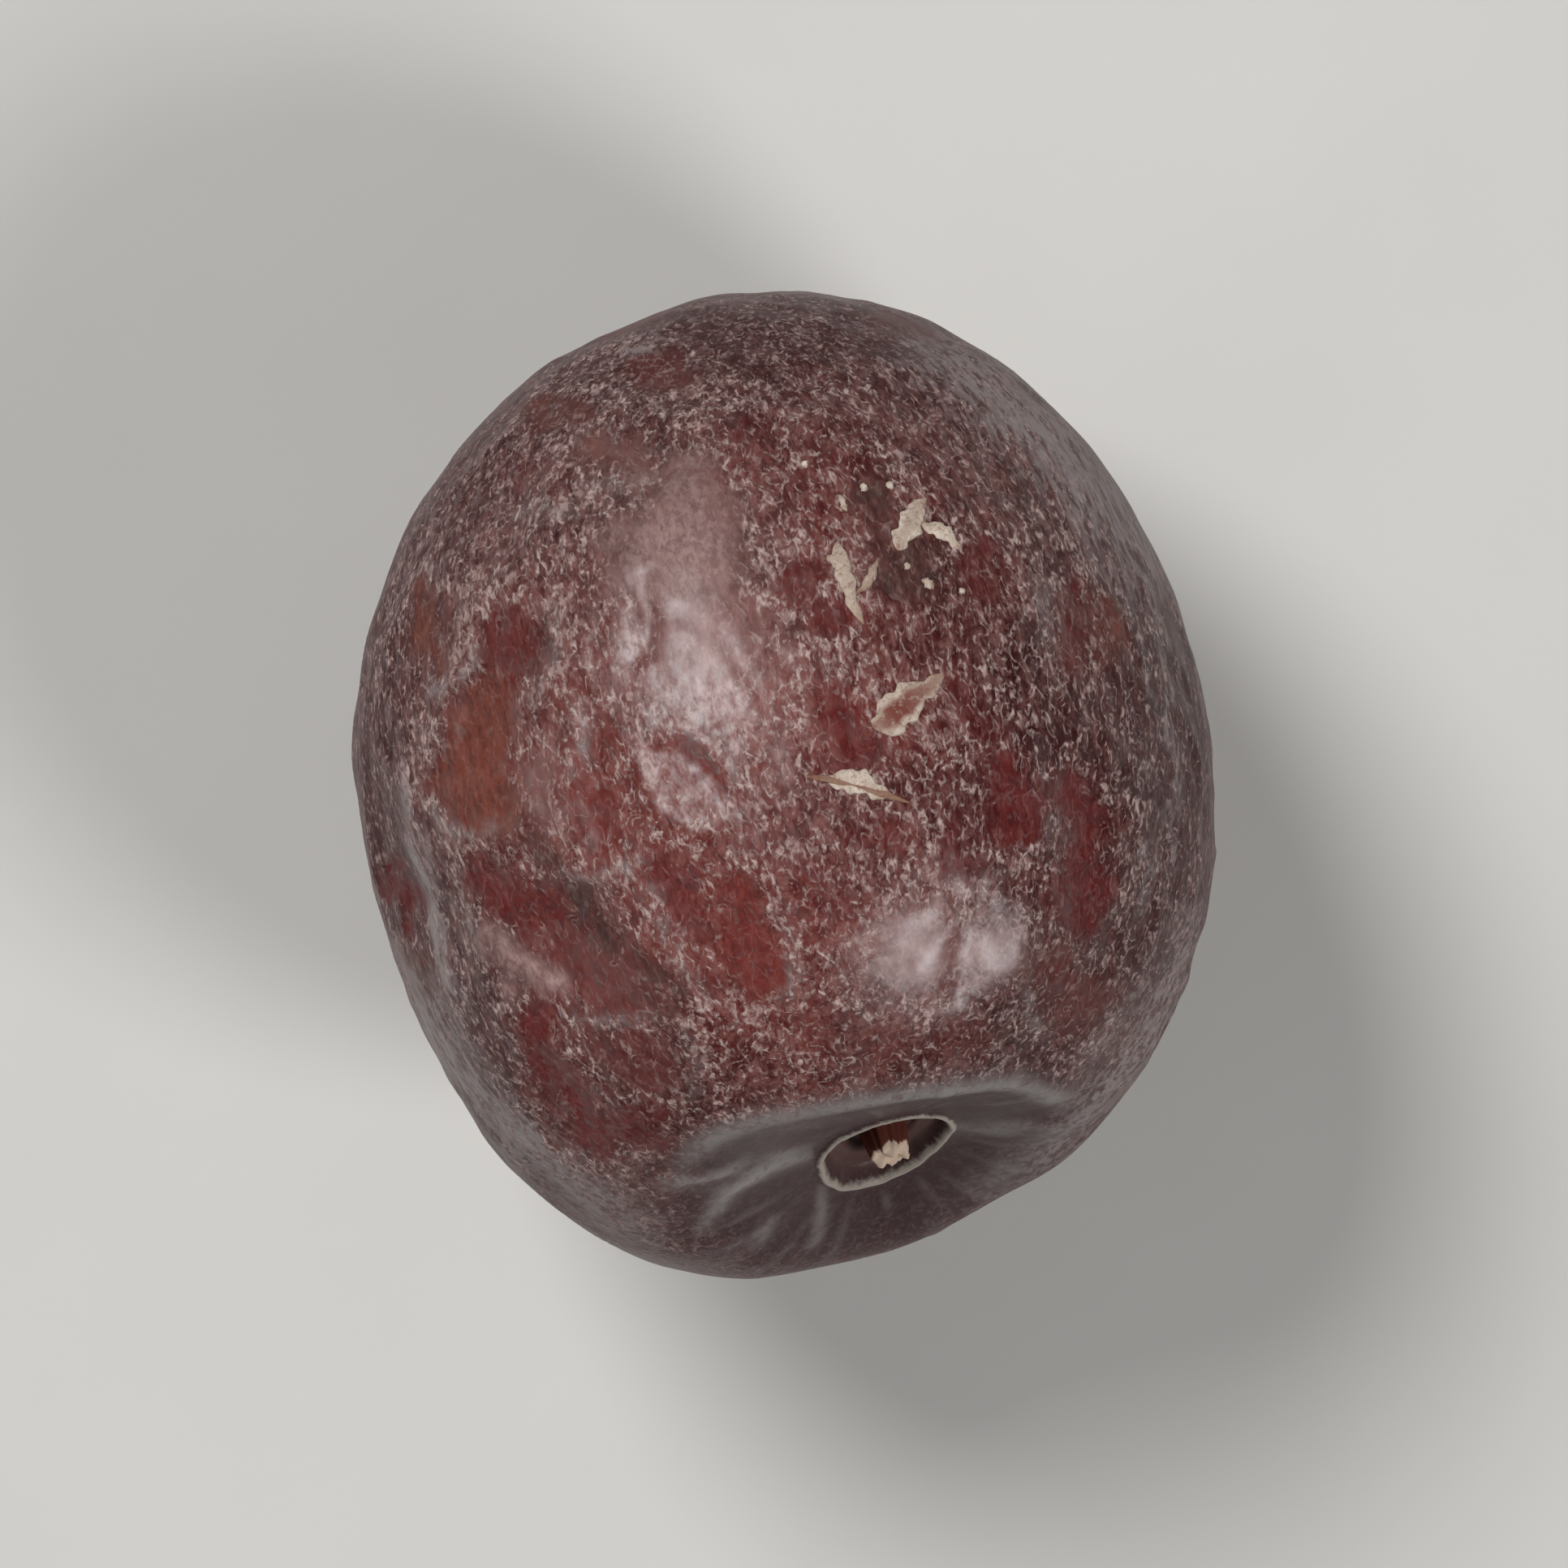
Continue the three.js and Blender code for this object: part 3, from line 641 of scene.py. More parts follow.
def furrow_reach(turn, radius):
    """How strong the furrows are: they start and end softly, and are strongest on one side."""
    starts = smoothstep(radius, *FURROWS_START)
    ends = 1 - smoothstep(radius, *FURROWS_END)
    return starts * ends * (1 - FURROW_ONE_SIDEDNESS + FURROW_ONE_SIDEDNESS * np.cos(turn - FURROW_SIDE))


def stem_rays(turn, radius):
    """Fine wrinkles round the scar, 0 to 1: two sines round the axis that drift as they run outwards."""
    first = np.sin(RAY_COUNTS[0] * turn + RAY_SWAY * np.sin(3 * turn + radius))
    second = np.sin(RAY_COUNTS[1] * turn + RAY_SWAY * np.sin(2 * turn - radius))
    reach = smoothstep(radius, *RAYS_START) * (1 - smoothstep(radius, *RAYS_END))
    return reach * np.maximum(0, first + second) / 2


def fray(turn, phase):
    """Raggedness round the axis, -1 to 1: sines of rising count, each further on in phase."""
    sines = [
        share * np.sin(count * turn + (step + 1) * phase) for step, (count, share) in enumerate(FRAY_SINES)
    ]
    return sum(sines) / 2


def rim_radius(turn):
    """Distance of the scar's rim from the axis: a frayed circle pulled a little out of round."""
    pull = RIM_OVALNESS * np.sin(2 * turn) + RIM_WAVINESS * np.sin(3 * turn + 1)
    return RIM_RADIUS * (1 + pull + RIM_FRAY * fray(turn, 1))


def stub_share(local):
    """1 on the stub of the stalk, 0 off it: a frayed circle."""
    across, through = local[:, 0] - STUB_OFFSET, local[:, 1] + STUB_OFFSET
    offset = np.hypot(across, through) * (1 + STUB_FRAY * fray(np.arctan2(through, across), 2))
    return 1 - smoothstep(offset, STUB_RADIUS - SCAR_STEP, STUB_RADIUS)


def stub_rise(local):
    """Rise of the stub: its end is broken into fibres by a product of sines."""
    fibres = np.sin(FIBRE_TURNS * local[:, 0]) * np.sin(FIBRE_TURNS * local[:, 1] + 1)
    return STUB_HEIGHT * stub_share(local) * (1 + STUB_FIBRES * fibres)


def scar_rise(local, turn, radius):
    """Rise of the stalk's scar: a rim round a sunken disc, with a hole and the stub in its middle."""
    rim_at = rim_radius(turn)
    rim = RIM_HEIGHT * bell(radius - rim_at, RIM_WIDTH)
    disc = DISC_DROP * (1 - smoothstep(radius, rim_at - DISC_SLOPE, rim_at))
    hole = HOLE_DEPTH * (1 - smoothstep(radius, HOLE_RADIUS - SCAR_STEP, HOLE_RADIUS))
    return rim - disc - hole + stub_rise(local)


def hollow_depth(directions):
    """How deep the broad hollows are: bells over the angle from the middle of each."""
    depth = np.zeros(len(directions))
    for towards, deepest, spread in HOLLOWS:
        angle = np.arccos(np.clip(directions @ unit(np.array(towards)), -1, 1))
        depth += deepest * bell(angle, spread)
    return depth


def upper_share(directions):
    """1 where the skin faces the sky, 0 where it faces the floor."""
    return smoothstep(directions @ FRUIT_FRAME[:, 2], *FACING_UP)


def flank_share(directions):
    """1 on the sides, which are seen at a slant from above, and 0 on top and underneath."""
    return 1 - smoothstep(np.abs(directions @ FRUIT_FRAME[:, 2]), *FLANK_EDGE)


def patch_offset(seen, discs):
    """Distance outside the soft union of discs, negative inside it."""
    offsets = [np.hypot(seen[:, 0] - x, seen[:, 1] - y) - radius for x, y, radius in discs]
    return -PATCH_BLEND * np.log(sum(np.exp(-offset / PATCH_BLEND) for offset in offsets))


def patch_fields(seen, upper):
    """How much the clean patches dent, bare, border and tone the skin at seen places."""
    fields = {name: np.zeros(len(seen)) for name in ("dent", "bare", "border", *TONE_COLOURS, "veil")}
    for discs, dent, bare, tones in PATCHES:
        offset = patch_offset(seen, discs)
        inside = upper * (1 - smoothstep(offset, -PATCH_EDGE, PATCH_EDGE))
        fields["dent"] += dent * upper * (1 - smoothstep(offset, *DENT_EDGE))
        fields["bare"] = np.maximum(fields["bare"], bare * inside)
        fields["border"] = np.maximum(fields["border"], upper * bell(offset - PATCH_BORDER, PATCH_BORDER))
        for tone, share in tones.items():
            fields[tone] = np.maximum(fields[tone], share * inside)
    return fields


def fold_fields(seen, upper):
    """Depth of the folds and the dust on them: bells across each bent line, faded at its ends."""
    along = np.linspace(0, 1, FOLD_STEPS)[:, None]
    depth = np.zeros(len(seen))
    line = np.zeros(len(seen))
    for start, bend, end, width, sunk, pale in FOLDS:
        curve = (1 - along) ** 2 * start + 2 * along * (1 - along) * bend + along ** 2 * end
        gaps = np.hypot(seen[:, 0, None] - curve[:, 0], seen[:, 1, None] - curve[:, 1])
        fade = np.sin(math.pi * along[gaps.argmin(axis=1), 0]) ** FOLD_FADE
        across = upper * fade * bell(gaps.min(axis=1), width)
        depth += sunk * across
        line = np.maximum(line, pale * across)
    return depth, line


def cloud_sum(seen, clouds):
    """Sum of round bells over seen places."""
    return sum(
        strength * bell(np.hypot(seen[:, 0] - x, seen[:, 1] - y), spread) for x, y, spread, strength in clouds
    )


def local_places(directions, sunk):
    """Local places of the skin when it lies this far under the oval.

    The stem half rises by the scar, basin and furrows and the blossom half by the dimple, and each end leans
    over. Also gives the distance from the axis and the turn round it.
    """
    local = directions * (oval_radius(directions) - sunk)[:, None]
    radius = np.hypot(local[:, 0], local[:, 1])
    turn = np.arctan2(local[:, 1], local[:, 0])
    stem_rise = scar_rise(local, turn, radius) + basin_rise(turn, radius)
    stem_rise -= FURROW_DEPTH * furrow_reach(turn, radius) * furrow_wave(turn)
    blossom_rise = DIMPLE_DEPTH * bell(radius, DIMPLE_SPREAD) - POINT_HEIGHT * bell(radius, POINT_RADIUS)
    lean = STEM_LEAN * smoothstep(directions[:, 2], 0, LEAN_FULL)
    lean += BLOSSOM_LEAN * smoothstep(-directions[:, 2], 0, LEAN_FULL)
    rise = np.where(directions[:, 2] > 0, stem_rise, blossom_rise) + lean * local[:, 0]
    return local + rise[:, None] * np.array([0, 0, 1]), radius, turn


def stem_fields(directions, radius, turn, local):
    """Where the parts of the stem end and of the blossom end are, by the distance from the axis."""
    stem = (directions[:, 2] > 0).astype(float)
    crest = crest_radius(turn)
    rim_at = rim_radius(turn)
    lip = lip_share(turn)
    stub = stub_share(local)
    face_from = crest - FACE_INSIDE - FACE_INSIDE_BLUR * (1 - lip)
    face_to = crest + FACE_OUTSIDE + FACE_OUTSIDE_BLUR * (1 - lip)
    return {
        "stem_face": stem * (1 - smoothstep(radius, face_from, face_to)),
        "crest": stem * lip * bell(radius - crest, CREST_BAND),
        "rim": stem * bell(radius - rim_at, RIM_WIDTH),
        "pit": stem * (1 - smoothstep(radius, rim_at - DISC_SLOPE, rim_at)),
        "stub": stem * smoothstep(stub, *STUB_EDGE),
        "stub_end": stem * smoothstep(stub, *STUB_END_EDGE),
        "eye": (1 - stem) * bell(radius, DIMPLE_SHADE_RADIUS),
        "style": (1 - stem) * bell(radius, POINT_RADIUS),
    }


def side_patches(directions, share, which, net_share):
    """How much the flanks' clean patches, in the middles of picked dishes, bare and tone the skin."""
    draw = scatter(which, 7)
    side = net_share * (1 - smoothstep(directions @ FRUIT_FRAME[:, 2], *SIDE_EDGE))
    clean = side * smoothstep(share, *CLEAN_EDGE) * smoothstep(draw, *PICKED)
    return {
        "bare": SIDE_BARE * clean,
        "dark": SIDE_DARK * clean * (draw < RED_FROM),
        "red": SIDE_RED * clean * (draw >= RED_FROM),
    }


def skin_points(directions):
    """The skin's places in the part's axes, and what its finish needs to know there.

    The dishes and hollows give a first surface, on which the patches, folds, dust and veils are laid out as
    seen from above, with the painted highlights and shade they carry. Their relief, the small wrinkles and
    the unevenness are then sunk into it, and the underside is pressed flat on the floor.
    """
    middles, sizes, depths = net_dishes()
    share, inward, which = net_relief(directions, middles, sizes, DISH_STRETCH, FULL_DISH_SPACING)
    net_share = 1 - smoothstep(directions[:, 2], *NET_ENDS)
    sunk = net_share * depths[which] * share + hollow_depth(directions)
    first, radius, turn = local_places(directions, sunk)
    seen = first @ FRUIT_FRAME[:, :2]
    wander = np.column_stack([
        waves(directions, WANDER_WAVES, WANDER_LENGTHS, SEED + axis) for axis in (1, 2)
    ])
    upper = upper_share(directions)

    fields = patch_fields(seen + PATCH_WANDER * wander, upper)
    for name, values in side_patches(directions, share, which, net_share).items():
        fields[name] = np.maximum(fields[name], values)
    fold_depth, fields["line"] = fold_fields(seen + FOLD_WANDER * wander, upper)
    fields.update(stem_fields(directions, radius, turn, first))
    fields["ridge"] = net_share * (1 - smoothstep(inward, *RIDGE_EDGE))
    fields["veil"] += upper * cloud_sum(seen, VEILS_AND_HIGHLIGHTS)
    fields["flank"] = flank_share(directions)
    fields["dust"] = np.clip(DUST_MEAN + upper * cloud_sum(seen, DUST_AND_SHADE_CLOUDS), 0, 1)
    fields["warm"] = np.clip(upper * cloud_sum(seen, WARM_WASHES) + UNDERSIDE_WARMTH * (1 - upper), 0, 1)
    ray_share = (directions[:, 2] > 0) * np.clip(0.5 + 0.5 * wander[:, 0], 0, 1)
    fields["ray"] = ray_share * stem_rays(turn, radius)

    wrinkles = spiral(WRINKLES, WRINKLE_NUDGE)
    wrinkle, _, _ = net_relief(directions, wrinkles, np.ones(WRINKLES), WRINKLE_STRETCH, WRINKLE_SPACING)
    under = underside_share(directions)
    wrinkle_depth = WRINKLE_DEPTH * (WRINKLE_UPPER_SHARE + (1 - WRINKLE_UPPER_SHARE) * under)
    small = wrinkle_depth * wrinkle * (1 - BARE_SMOOTHNESS * fields["bare"]) + fields.pop("dent")
    small += UNEVEN_HEIGHT * waves(directions, UNEVEN_WAVES, UNEVEN_LENGTHS, SEED)
    small = net_share * small + fold_depth - RAY_HEIGHT * fields["ray"]
    local, _, _ = local_places(directions, sunk + small)
    points = local @ FRUIT_FRAME + BODY_MIDDLE
    points[:, 2] = np.maximum(points[:, 2], 0)
    return points, fields


def grid(rows, columns):
    """Row and column values of every point of a grid, row by row."""
    return (values.ravel() for values in np.meshgrid(rows, columns, indexing="ij"))


def skin_grid():
    """Directions on rows from the stem's pole to the blossom's, close over the scar, and their faces."""
    scar = SCAR_ANGLE * np.arange(1, SCAR_ROWS + 1) / SCAR_ROWS
    body = SCAR_ANGLE + (math.pi - SCAR_ANGLE) * np.arange(1, BODY_ROWS) / BODY_ROWS
    angles = np.concatenate([scar, body])
    angle, turn = grid(angles, 2 * math.pi * np.arange(COLUMNS) / COLUMNS)
    ring = np.column_stack([np.sin(angle) * np.cos(turn), np.sin(angle) * np.sin(turn), np.cos(angle)])
    directions = np.concatenate([[[0, 0, 1]], ring, [[0, 0, -1]]])

    def at(row, column):
        return 1 + row * COLUMNS + column % COLUMNS

    last_row = len(angles) - 1
    row, column = grid(np.arange(last_row), np.arange(COLUMNS))
    corners = [at(row, column), at(row + 1, column), at(row + 1, column + 1), at(row, column + 1)]
    edge = np.arange(COLUMNS)
    stem_pole = 0 * edge
    blossom_pole = stem_pole + len(directions) - 1
    stem_fan = np.column_stack([stem_pole, at(0, edge), at(0, edge + 1)])
    blossom_fan = np.column_stack([at(last_row, edge), blossom_pole, at(last_row, edge + 1)])
    return directions, [np.column_stack(corners), stem_fan, blossom_fan]


def fleck_surface(index, start, end, width, bow, widest, pale, core):
    """One corky fleck: a ragged leaf-shaped lens whose middle line bows to the side, laid on the skin.

    Along the line the half width swells and closes as a sine of the run raised to a power, which puts the
    widest place where it is asked for, and quicker sines shake it. Round the line an ellipse gives the offset
    to the side, which moves the seen place, and the height off the skin, which moves the point out from the
    middle. The fleck pales away from its ends, and its core shows along the middle line.
    """
    run = np.array(end) - start
    length = np.linalg.norm(run)
    side = np.array([-run[1], run[0]]) / length
    along, turn = grid(np.linspace(0, 1, FLECK_STEPS), 2 * math.pi * np.arange(FLECK_SIDES) / FLECK_SIDES)
    swell = np.sin(math.pi * along ** (math.log(0.5) / math.log(widest))) ** FLECK_TAPER
    phase = 2 * math.pi * scatter(index, 9)
    edge = np.sign(np.cos(turn))
    shake = sum(
        share * np.sin(count * along + (step + 1) * phase + shift * edge)
        for step, (count, share, shift) in enumerate(SHAKE_SINES)
    )
    across = 0.5 * width * swell * (1 + FLECK_RAGGEDNESS * shake) * np.cos(turn)
    across += bow * np.sin(math.pi * along) * length
    seen = start + along[:, None] * run + across[:, None] * side
    points, _ = skin_points(directions_under(seen))
    height = FLECK_THICKNESS * swell * np.sin(turn)
    points += unit(points - BODY_MIDDLE) * height[:, None]
    row, column = grid(np.arange(FLECK_STEPS - 1), np.arange(FLECK_SIDES))
    after = (column + 1) % FLECK_SIDES
    near, far = row * FLECK_SIDES, (row + 1) * FLECK_SIDES
    faces = np.column_stack([near + column, far + column, far + after, near + after])
    shades = {
        "pale": pale * (FLECK_PALE_LEAST + (1 - FLECK_PALE_LEAST) * swell),
        "core": core * swell * (1 - smoothstep(np.abs(np.cos(turn)), *CORE_EDGE)),
    }
    return points, faces, shades


def mesh_piece(name, points, faces, fields, material):
    """An object at the origin: points in millimetres, smooth faces, and a value per point for each field."""
    mesh = bpy.data.meshes.new(name)
    polygons = [polygon for block in faces for polygon in block.tolist()]
    mesh.from_pydata((points * MM).tolist(), [], polygons)
    mesh.shade_smooth()
    for field, values in fields.items():
        layer = mesh.attributes.new(field, "FLOAT", "POINT")
        layer.data.foreach_set("value", values.astype(np.float32))
    mesh.materials.append(material)
    piece = bpy.data.objects.new(name, mesh)
    bpy.context.scene.collection.objects.link(piece)
    return piece


class Value:
    """A socket of a finish's nodes; arithmetic on it adds Math nodes."""

    def __init__(self, finish, socket):
        self.finish = finish
        self.socket = socket

    def math(self, operation, first, second):
        """A Math node on two values."""
        inputs = {"Value": first, "Value_001": second}
        return self.finish.node("ShaderNodeMath", {"operation": operation}, inputs)

    def __add__(self, other):
        return self.math("ADD", self, other)

    def __radd__(self, other):
        return self.math("ADD", other, self)

    def __sub__(self, other):
        return self.math("SUBTRACT", self, other)

    def __rsub__(self, other):
        return self.math("SUBTRACT", other, self)

    def __mul__(self, other):
        return self.math("MULTIPLY", self, other)

    def __rmul__(self, other):
        return self.math("MULTIPLY", other, self)

    def __abs__(self):
        return self.math("ABSOLUTE", self, 0.0)


class Finish:
    """A material whose nodes end in one Principled shader."""

    def __init__(self, name):
        self.material = bpy.data.materials.new(name)
        self.material.use_nodes = True
        self.tree = self.material.node_tree
        self.shader = self.tree.nodes["Principled BSDF"]

    def feed(self, socket, value):
        """Links a value to a socket, or sets the socket to a constant."""
        if isinstance(value, Value):
            self.tree.links.new(value.socket, socket)
        else:
            socket.default_value = value

    def node(self, kind, settings, inputs, output=0):
        """A node of this type with its settings and the values or links of its sockets; gives one output."""
        node = self.tree.nodes.new(kind)
        for setting, value in settings.items():
            setattr(node, setting, value)
        for identifier, value in inputs.items():
            socket = next(socket for socket in node.inputs if socket.identifier == identifier)
            self.feed(socket, value)
        return Value(self, node.outputs[output])

    def set(self, **inputs):
        """Values or links of the shader's own sockets, named with underscores for spaces."""
        for name, value in inputs.items():
            self.feed(self.shader.inputs[name.replace("_", " ")], value)

    def place(self):
        """The object's own coordinates, in metres."""
        return self.node("ShaderNodeTexCoord", {}, {}, "Object")

    def field(self, name):
        """A value kept at each point of the piece."""
        settings = {"attribute_type": "GEOMETRY", "attribute_name": name}
        return self.node("ShaderNodeAttribute", settings, {}, "Fac")

    def noise(self, size, detail=2.0, roughness=0.5, distortion=0.0, drawn_out=1.0):
        """Soft noise from 0 to 1 with grains of about this many millimetres, drawn out along the fruit."""
        inputs = {
            "Vector": self.place(),
            "Rotation": Matrix(FRUIT_FRAME.T.tolist()).to_euler(),
            "Scale": (1.0, 1.0, drawn_out),
        }
        local = self.node("ShaderNodeMapping", {"vector_type": "TEXTURE"}, inputs)
        inputs = {
            "Vector": local,
            "Scale": 1 / (size * MM),
            "Detail": detail,
            "Roughness": roughness,
            "Distortion": distortion,
        }
        return self.node("ShaderNodeTexNoise", {}, inputs)

    def between(self, value, low, high, most=1.0):
        """0 up to low, the most from high on, and a soft S between them."""
        inputs = {"Value": value, "From Min": low, "From Max": high, "To Max": most}
        return self.node("ShaderNodeMapRange", {"interpolation_type": "SMOOTHSTEP"}, inputs)

    def mix(self, share, first, second):
        """A colour that goes from the first to the second."""
        inputs = {"Factor_Float": share, "A_Color": tint(first), "B_Color": tint(second)}
        return self.node("ShaderNodeMix", {"data_type": "RGBA"}, inputs, 2)

    def bump(self, height, depth):
        """A normal bent by a height from 0 to 1 that stands for this many millimetres."""
        return self.node("ShaderNodeBump", {}, {"Height": height, "Strength": 1.0, "Distance": depth * MM})


def tint(colour):
    """A colour in screen values as the linear colour that a shader takes; a link stays as it is."""
    if isinstance(colour, Value):
        return colour
    screen = np.array(colour) / 255
    linear = np.where(screen <= 0.04045, screen / 12.92, ((screen + 0.055) / 1.055) ** 2.4)
    return (*linear.tolist(), 1.0)


def skin_guides(finish, names):
    """What the skin's finish goes by: its fields and grains, where it is bare of dust, and where the veils
    and painted highlights lie.
    """
    at = SimpleNamespace(**{name: finish.field(name) for name in names})
    for name, grain in GRAINS.items():
        setattr(at, name, finish.noise(*grain))
    at.bare = finish.between(at.bare + 0.8 * at.clump + 0.6 * at.mottle, *BARE)
    at.veiled = finish.between(at.veil, *VEIL_AND_HIGHLIGHT_EDGE)
    at.dust = at.dust - 0.1 * at.flank
    return at


def skin_colour(finish, at):
    """Maroon skin: warmer in washes, darker down the flanks as painted shade and the skin's own colour, toned
    in the patches, and finely grained.
    """
    warmth = finish.between(at.warm + 0.9 * at.slow + 0.4 * at.clump - 0.25 * at.flank, *WARMTH)
    colour = finish.mix(warmth, DEEP_MAROON, WARM_MAROON)
    # Painted shade, partly the skin's own darker colour: the flanks go towards deep maroon
    colour = finish.mix(finish.between(at.flank + 0.5 * at.slow, *SHADE), colour, DEEP_MAROON)
    tone_share = (0.4 + 0.6 * at.clump + 0.4 * at.mottle) * (0.5 + 0.5 * at.bare)
    for tone, tone_colour in TONE_COLOURS.items():
        colour = finish.mix(getattr(at, tone) * tone_share, colour, tone_colour)
    grain = 0.5 * at.mottle + 0.3 * at.streak + 0.2 * at.grit
    colour = finish.mix(finish.between(grain, *DARK_GRAIN), colour, DEEP_MAROON)
    light = finish.between(1 - grain, *LIGHT_GRAIN) * (1 - 0.7 * at.flank) * (1 - 0.5 * at.bare)
    return finish.mix(light, colour, ROSE_BLOOM)


def bloom_specks(finish, at):
    """How thickly pale bloom lies: faint and full specks by one level, and broken, wriggling threads."""
    threads = 1 - finish.between(abs(at.thread - GRAIN_MEAN), *THREAD_EDGE)
    threads = threads * finish.between(at.grit + 0.3 * at.clump, *THREAD_BREAKS)
    threads = threads * (1 - 0.8 * at.bare) * (1 - 0.8 * at.veiled)
    threads = threads * (1 - 0.7 * at.stem_face) * (1 - 0.2 * at.flank)
    level = at.grit + 0.3 * (at.clump - GRAIN_MEAN) + 0.2 * (at.flake - GRAIN_MEAN)
    level = level + 0.16 * (at.dust - DUST_MEAN) - 0.25 * at.bare - 0.3 * at.veiled
    level = level + 0.08 * at.border + 0.06 * at.ridge + 0.12 * at.line - 0.15 * at.stem_face
    return finish.between(level, *FAINT_SPECKS) + finish.between(level, *FULL_SPECKS) + 0.5 * threads


def bloomed(finish, at, specks, colour):
    """A colour under bloom: a thin film, smooth veils that also stand as painted highlights, specks, and grey
    streaks on the flanks and folds.
    """
    off_stem = 1 - 0.6 * at.stem_face
    film = finish.between(0.3 * at.clump + 0.7 * at.flake + 0.3 * at.dust, *FILM)
    film = film * (0.46 - 0.36 * at.bare) * (1 - 0.3 * at.flank)
    colour = finish.mix(film * off_stem, colour, ROSE_BLOOM)
    # The veils paint the skin paler: partly smooth bloom, partly painted highlights where the lamps shine
    veil = at.veil * (0.3 + finish.between(0.5 * at.mottle + 0.5 * at.grit, *VEIL_AND_HIGHLIGHT_GRAIN))
    colour = finish.mix(veil * off_stem, colour, VEIL_AND_HIGHLIGHT_ROSE)
    colour = finish.mix(specks, colour, PALE_BLOOM)
    streaks = at.streak + 0.2 * at.clump + 0.3 * (at.dust - DUST_MEAN) + 0.2 * at.line
    streaks = finish.between(streaks, *STREAKS) * (at.flank + at.line) * (1 - 0.7 * at.bare)
    return finish.mix(streaks, colour, STREAK_GREY)


def with_ends(finish, at, colour):
    """A colour with the ends: the grey stem end, its lines, scar and stub, and painted shade in the blossom
    end's dimple.
    """
    colour = finish.mix(at.stem_face * (0.3 + 0.8 * at.mottle), colour, STEM_GREY)
    strokes = 0.15 + finish.between(0.7 * at.streak + 0.3 * at.mottle, *STROKES)
    line_share = at.stem_face * (0.85 - strokes) + strokes
    lines = 0.65 * at.crest + line_share * at.line + 0.15 * at.ray
    colour = finish.mix(lines * finish.between(at.mottle, *LINE_GRAIN), colour, CREST_GREY)
    colour = finish.mix(at.pit, colour, PIT_BROWN)
    rim = finish.between(at.rim + 0.9 * at.mottle + 0.4 * at.grit, *RIM_EDGE)
    colour = finish.mix(rim, colour, RIM_BEIGE)
    stub_end = finish.between(at.stub_end + 0.5 * at.mottle, *STUB_BREAK)
    colour = finish.mix(at.stub, colour, finish.mix(stub_end, STUB_BROWN, STUB_CREAM))
    # Painted shade: deep maroon in the blossom end's dimple, round the style's point
    colour = finish.mix(finish.between(at.eye + 0.8 * at.mottle, *DIMPLE_SHADE), colour, DEEP_MAROON)
    return finish.mix(at.style, colour, CORK_TAN)


def skin_finish(names):
    """Dusty maroon skin that shines on top, in broken spots and smoothly under the veils and painted
    highlights, and is dull below.
    """
    finish = Finish("bloomed_skin")
    at = skin_guides(finish, names)
    specks = bloom_specks(finish, at)
    colour = bloomed(finish, at, specks, skin_colour(finish, at))
    gloss = (1 - at.flank) * (1 - 0.5 * at.stem_face)
    broken = finish.between(0.5 * at.mottle + 0.3 * at.flake + 0.2 * at.clump, *SHINE) * (1 - 0.6 * specks)
    finish.set(
        Base_Color=with_ends(finish, at, colour),
        Roughness=0.34 + 0.25 * specks,
        Normal=finish.bump(0.9 * specks + 0.5 * at.clump + 0.5 * at.mottle, depth=0.025),
        Specular_IOR_Level=0.08,
        Coat_Weight=gloss * gloss * (broken * (1 - at.veiled) + 0.85 * at.veiled),
        Coat_Roughness=0.35,
        Coat_IOR=1.55,
    )
    return finish.material


def cork_finish():
    """Dry tan cork, paler in streaks, brown in its splits and core, matt and finely pitted."""
    finish = Finish("cork")
    streak = finish.noise(size=0.16, detail=3.0, roughness=0.65)
    split = finish.noise(size=0.13, detail=2.0, roughness=0.6, distortion=1.0)
    pits = finish.noise(size=0.07)
    pale = finish.field("pale") * (0.3 + 1.2 * streak) - 0.1
    core = finish.field("core") * finish.between(streak, *CORE_GRAIN)
    colour = finish.mix(pale, CORK_TAN, CORK_PALE)
    colour = finish.mix(finish.between(split, *SPLITS), colour, CORK_CORE)
    finish.set(
        Base_Color=finish.mix(core, colour, CORK_CORE),
        Roughness=0.7 + 0.15 * pits,
        Normal=finish.bump(pits, depth=0.02),
        Specular_IOR_Level=0.25,
    )
    return finish.material


def paper_finish():
    """Pale matt paper with a faint mottle."""
    finish = Finish("pale_paper")
    mottle = finish.noise(size=8.0, detail=3.0)
    finish.set(Base_Color=finish.mix(mottle, PAPER, PAPER_SHADE), Roughness=0.9, Specular_IOR_Level=0.2)
    return finish.material


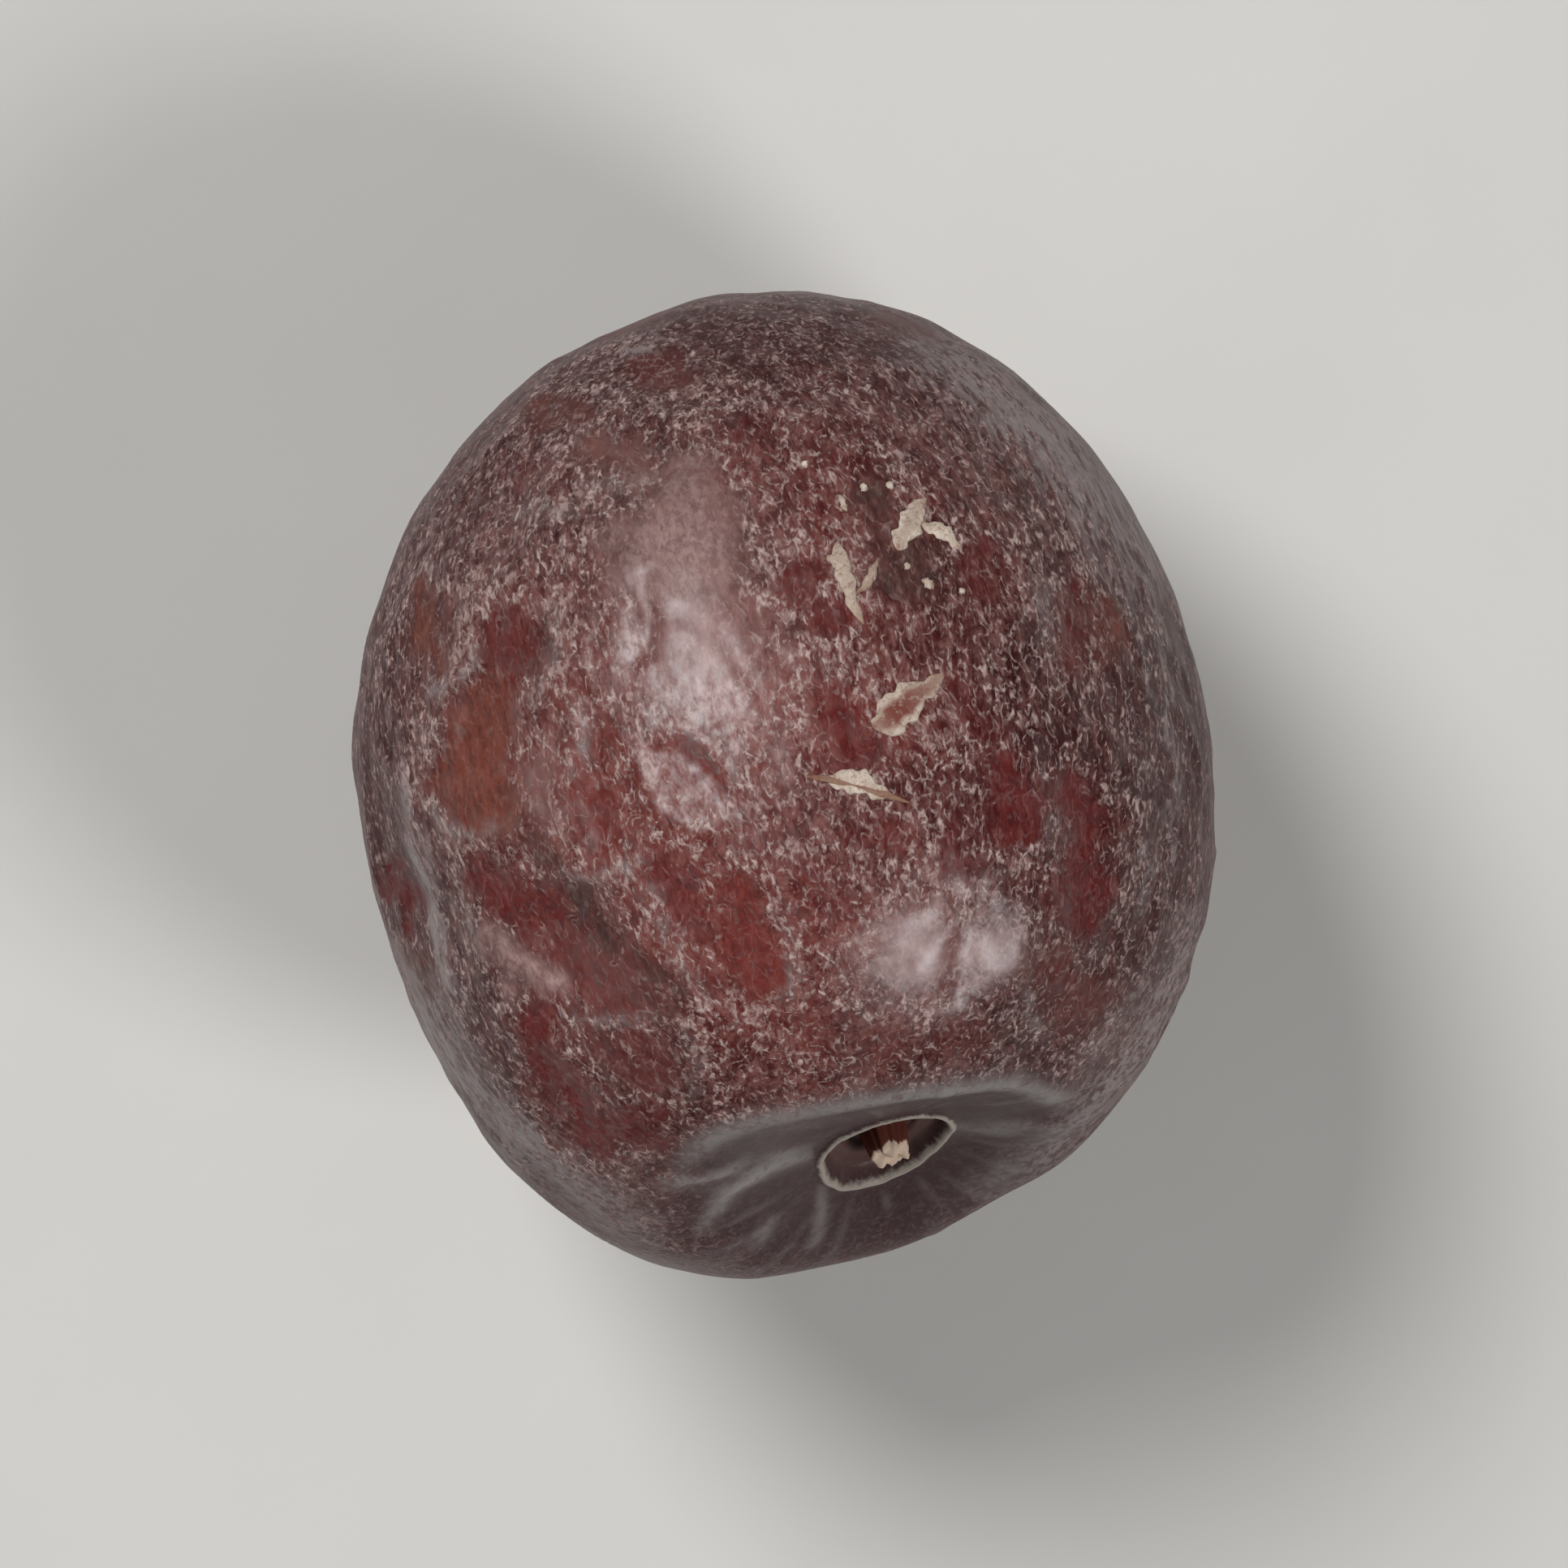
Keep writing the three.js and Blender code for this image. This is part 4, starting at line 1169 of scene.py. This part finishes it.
def build_skin():
    """The whole fruit, in place of the CAD solid."""
    directions, faces = skin_grid()
    points, fields = skin_points(directions)
    skin = mesh_piece("jujube_skin", points, faces, fields, skin_finish(fields))
    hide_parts("jujube")
    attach(skin, "root")


def build_flecks():
    """All corky flecks, as one piece lying on the skin."""
    surfaces = [fleck_surface(index, *fleck) for index, fleck in enumerate(FLECKS)]
    points, faces, shades = zip(*surfaces)
    firsts = np.cumsum([0] + [len(places) for places in points])
    faces = [polygons + first for polygons, first in zip(faces, firsts)]
    fields = {name: np.concatenate([shade[name] for shade in shades]) for name in shades[0]}
    flecks = mesh_piece("cork_flecks", np.concatenate(points), faces, fields, cork_finish())
    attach(flecks, "root")


def build_stage():
    """A pale floor, three soft lamps, an even room light and a camera straight above."""
    far = FLOOR_HALF
    corners = np.array([(-far, -far, 0), (far, -far, 0), (far, far, 0), (-far, far, 0)])
    floor = mesh_piece("floor", corners, [np.array([[0, 1, 2, 3]])], {}, paper_finish())
    scene = bpy.context.scene
    middle = BODY_MIDDLE * MM
    for lamp in LAMPS:
        light = bpy.data.lights.new(lamp["name"], "AREA")
        light.shape = "DISK"
        light.size = lamp["size"] * MM
        light.energy = lamp["watts"]
        holder = bpy.data.objects.new(lamp["name"], light)
        towards = unit(np.array(lamp["towards"]))
        holder.location = middle + towards * LAMP_DISTANCE * MM
        holder.rotation_euler = Vector(towards).to_track_quat("Z", "Y").to_euler()
        holder.visible_camera = False
        scene.collection.objects.link(holder)
    world = bpy.data.worlds.new("room")
    world.use_nodes = True
    background = world.node_tree.nodes["Background"]
    background.inputs["Color"].default_value = ROOM_COLOUR
    background.inputs["Strength"].default_value = ROOM_LIGHT
    scene.world = world
    lens = bpy.data.cameras.new("camera")
    lens.lens = CAMERA_LENS
    camera = bpy.data.objects.new("camera", lens)
    camera.location = (0, 0, CAMERA_HEIGHT * MM)
    scene.collection.objects.link(camera)
    scene.camera = camera
    scene.view_settings.view_transform = "Standard"


build_skin()
build_flecks()
build_stage()
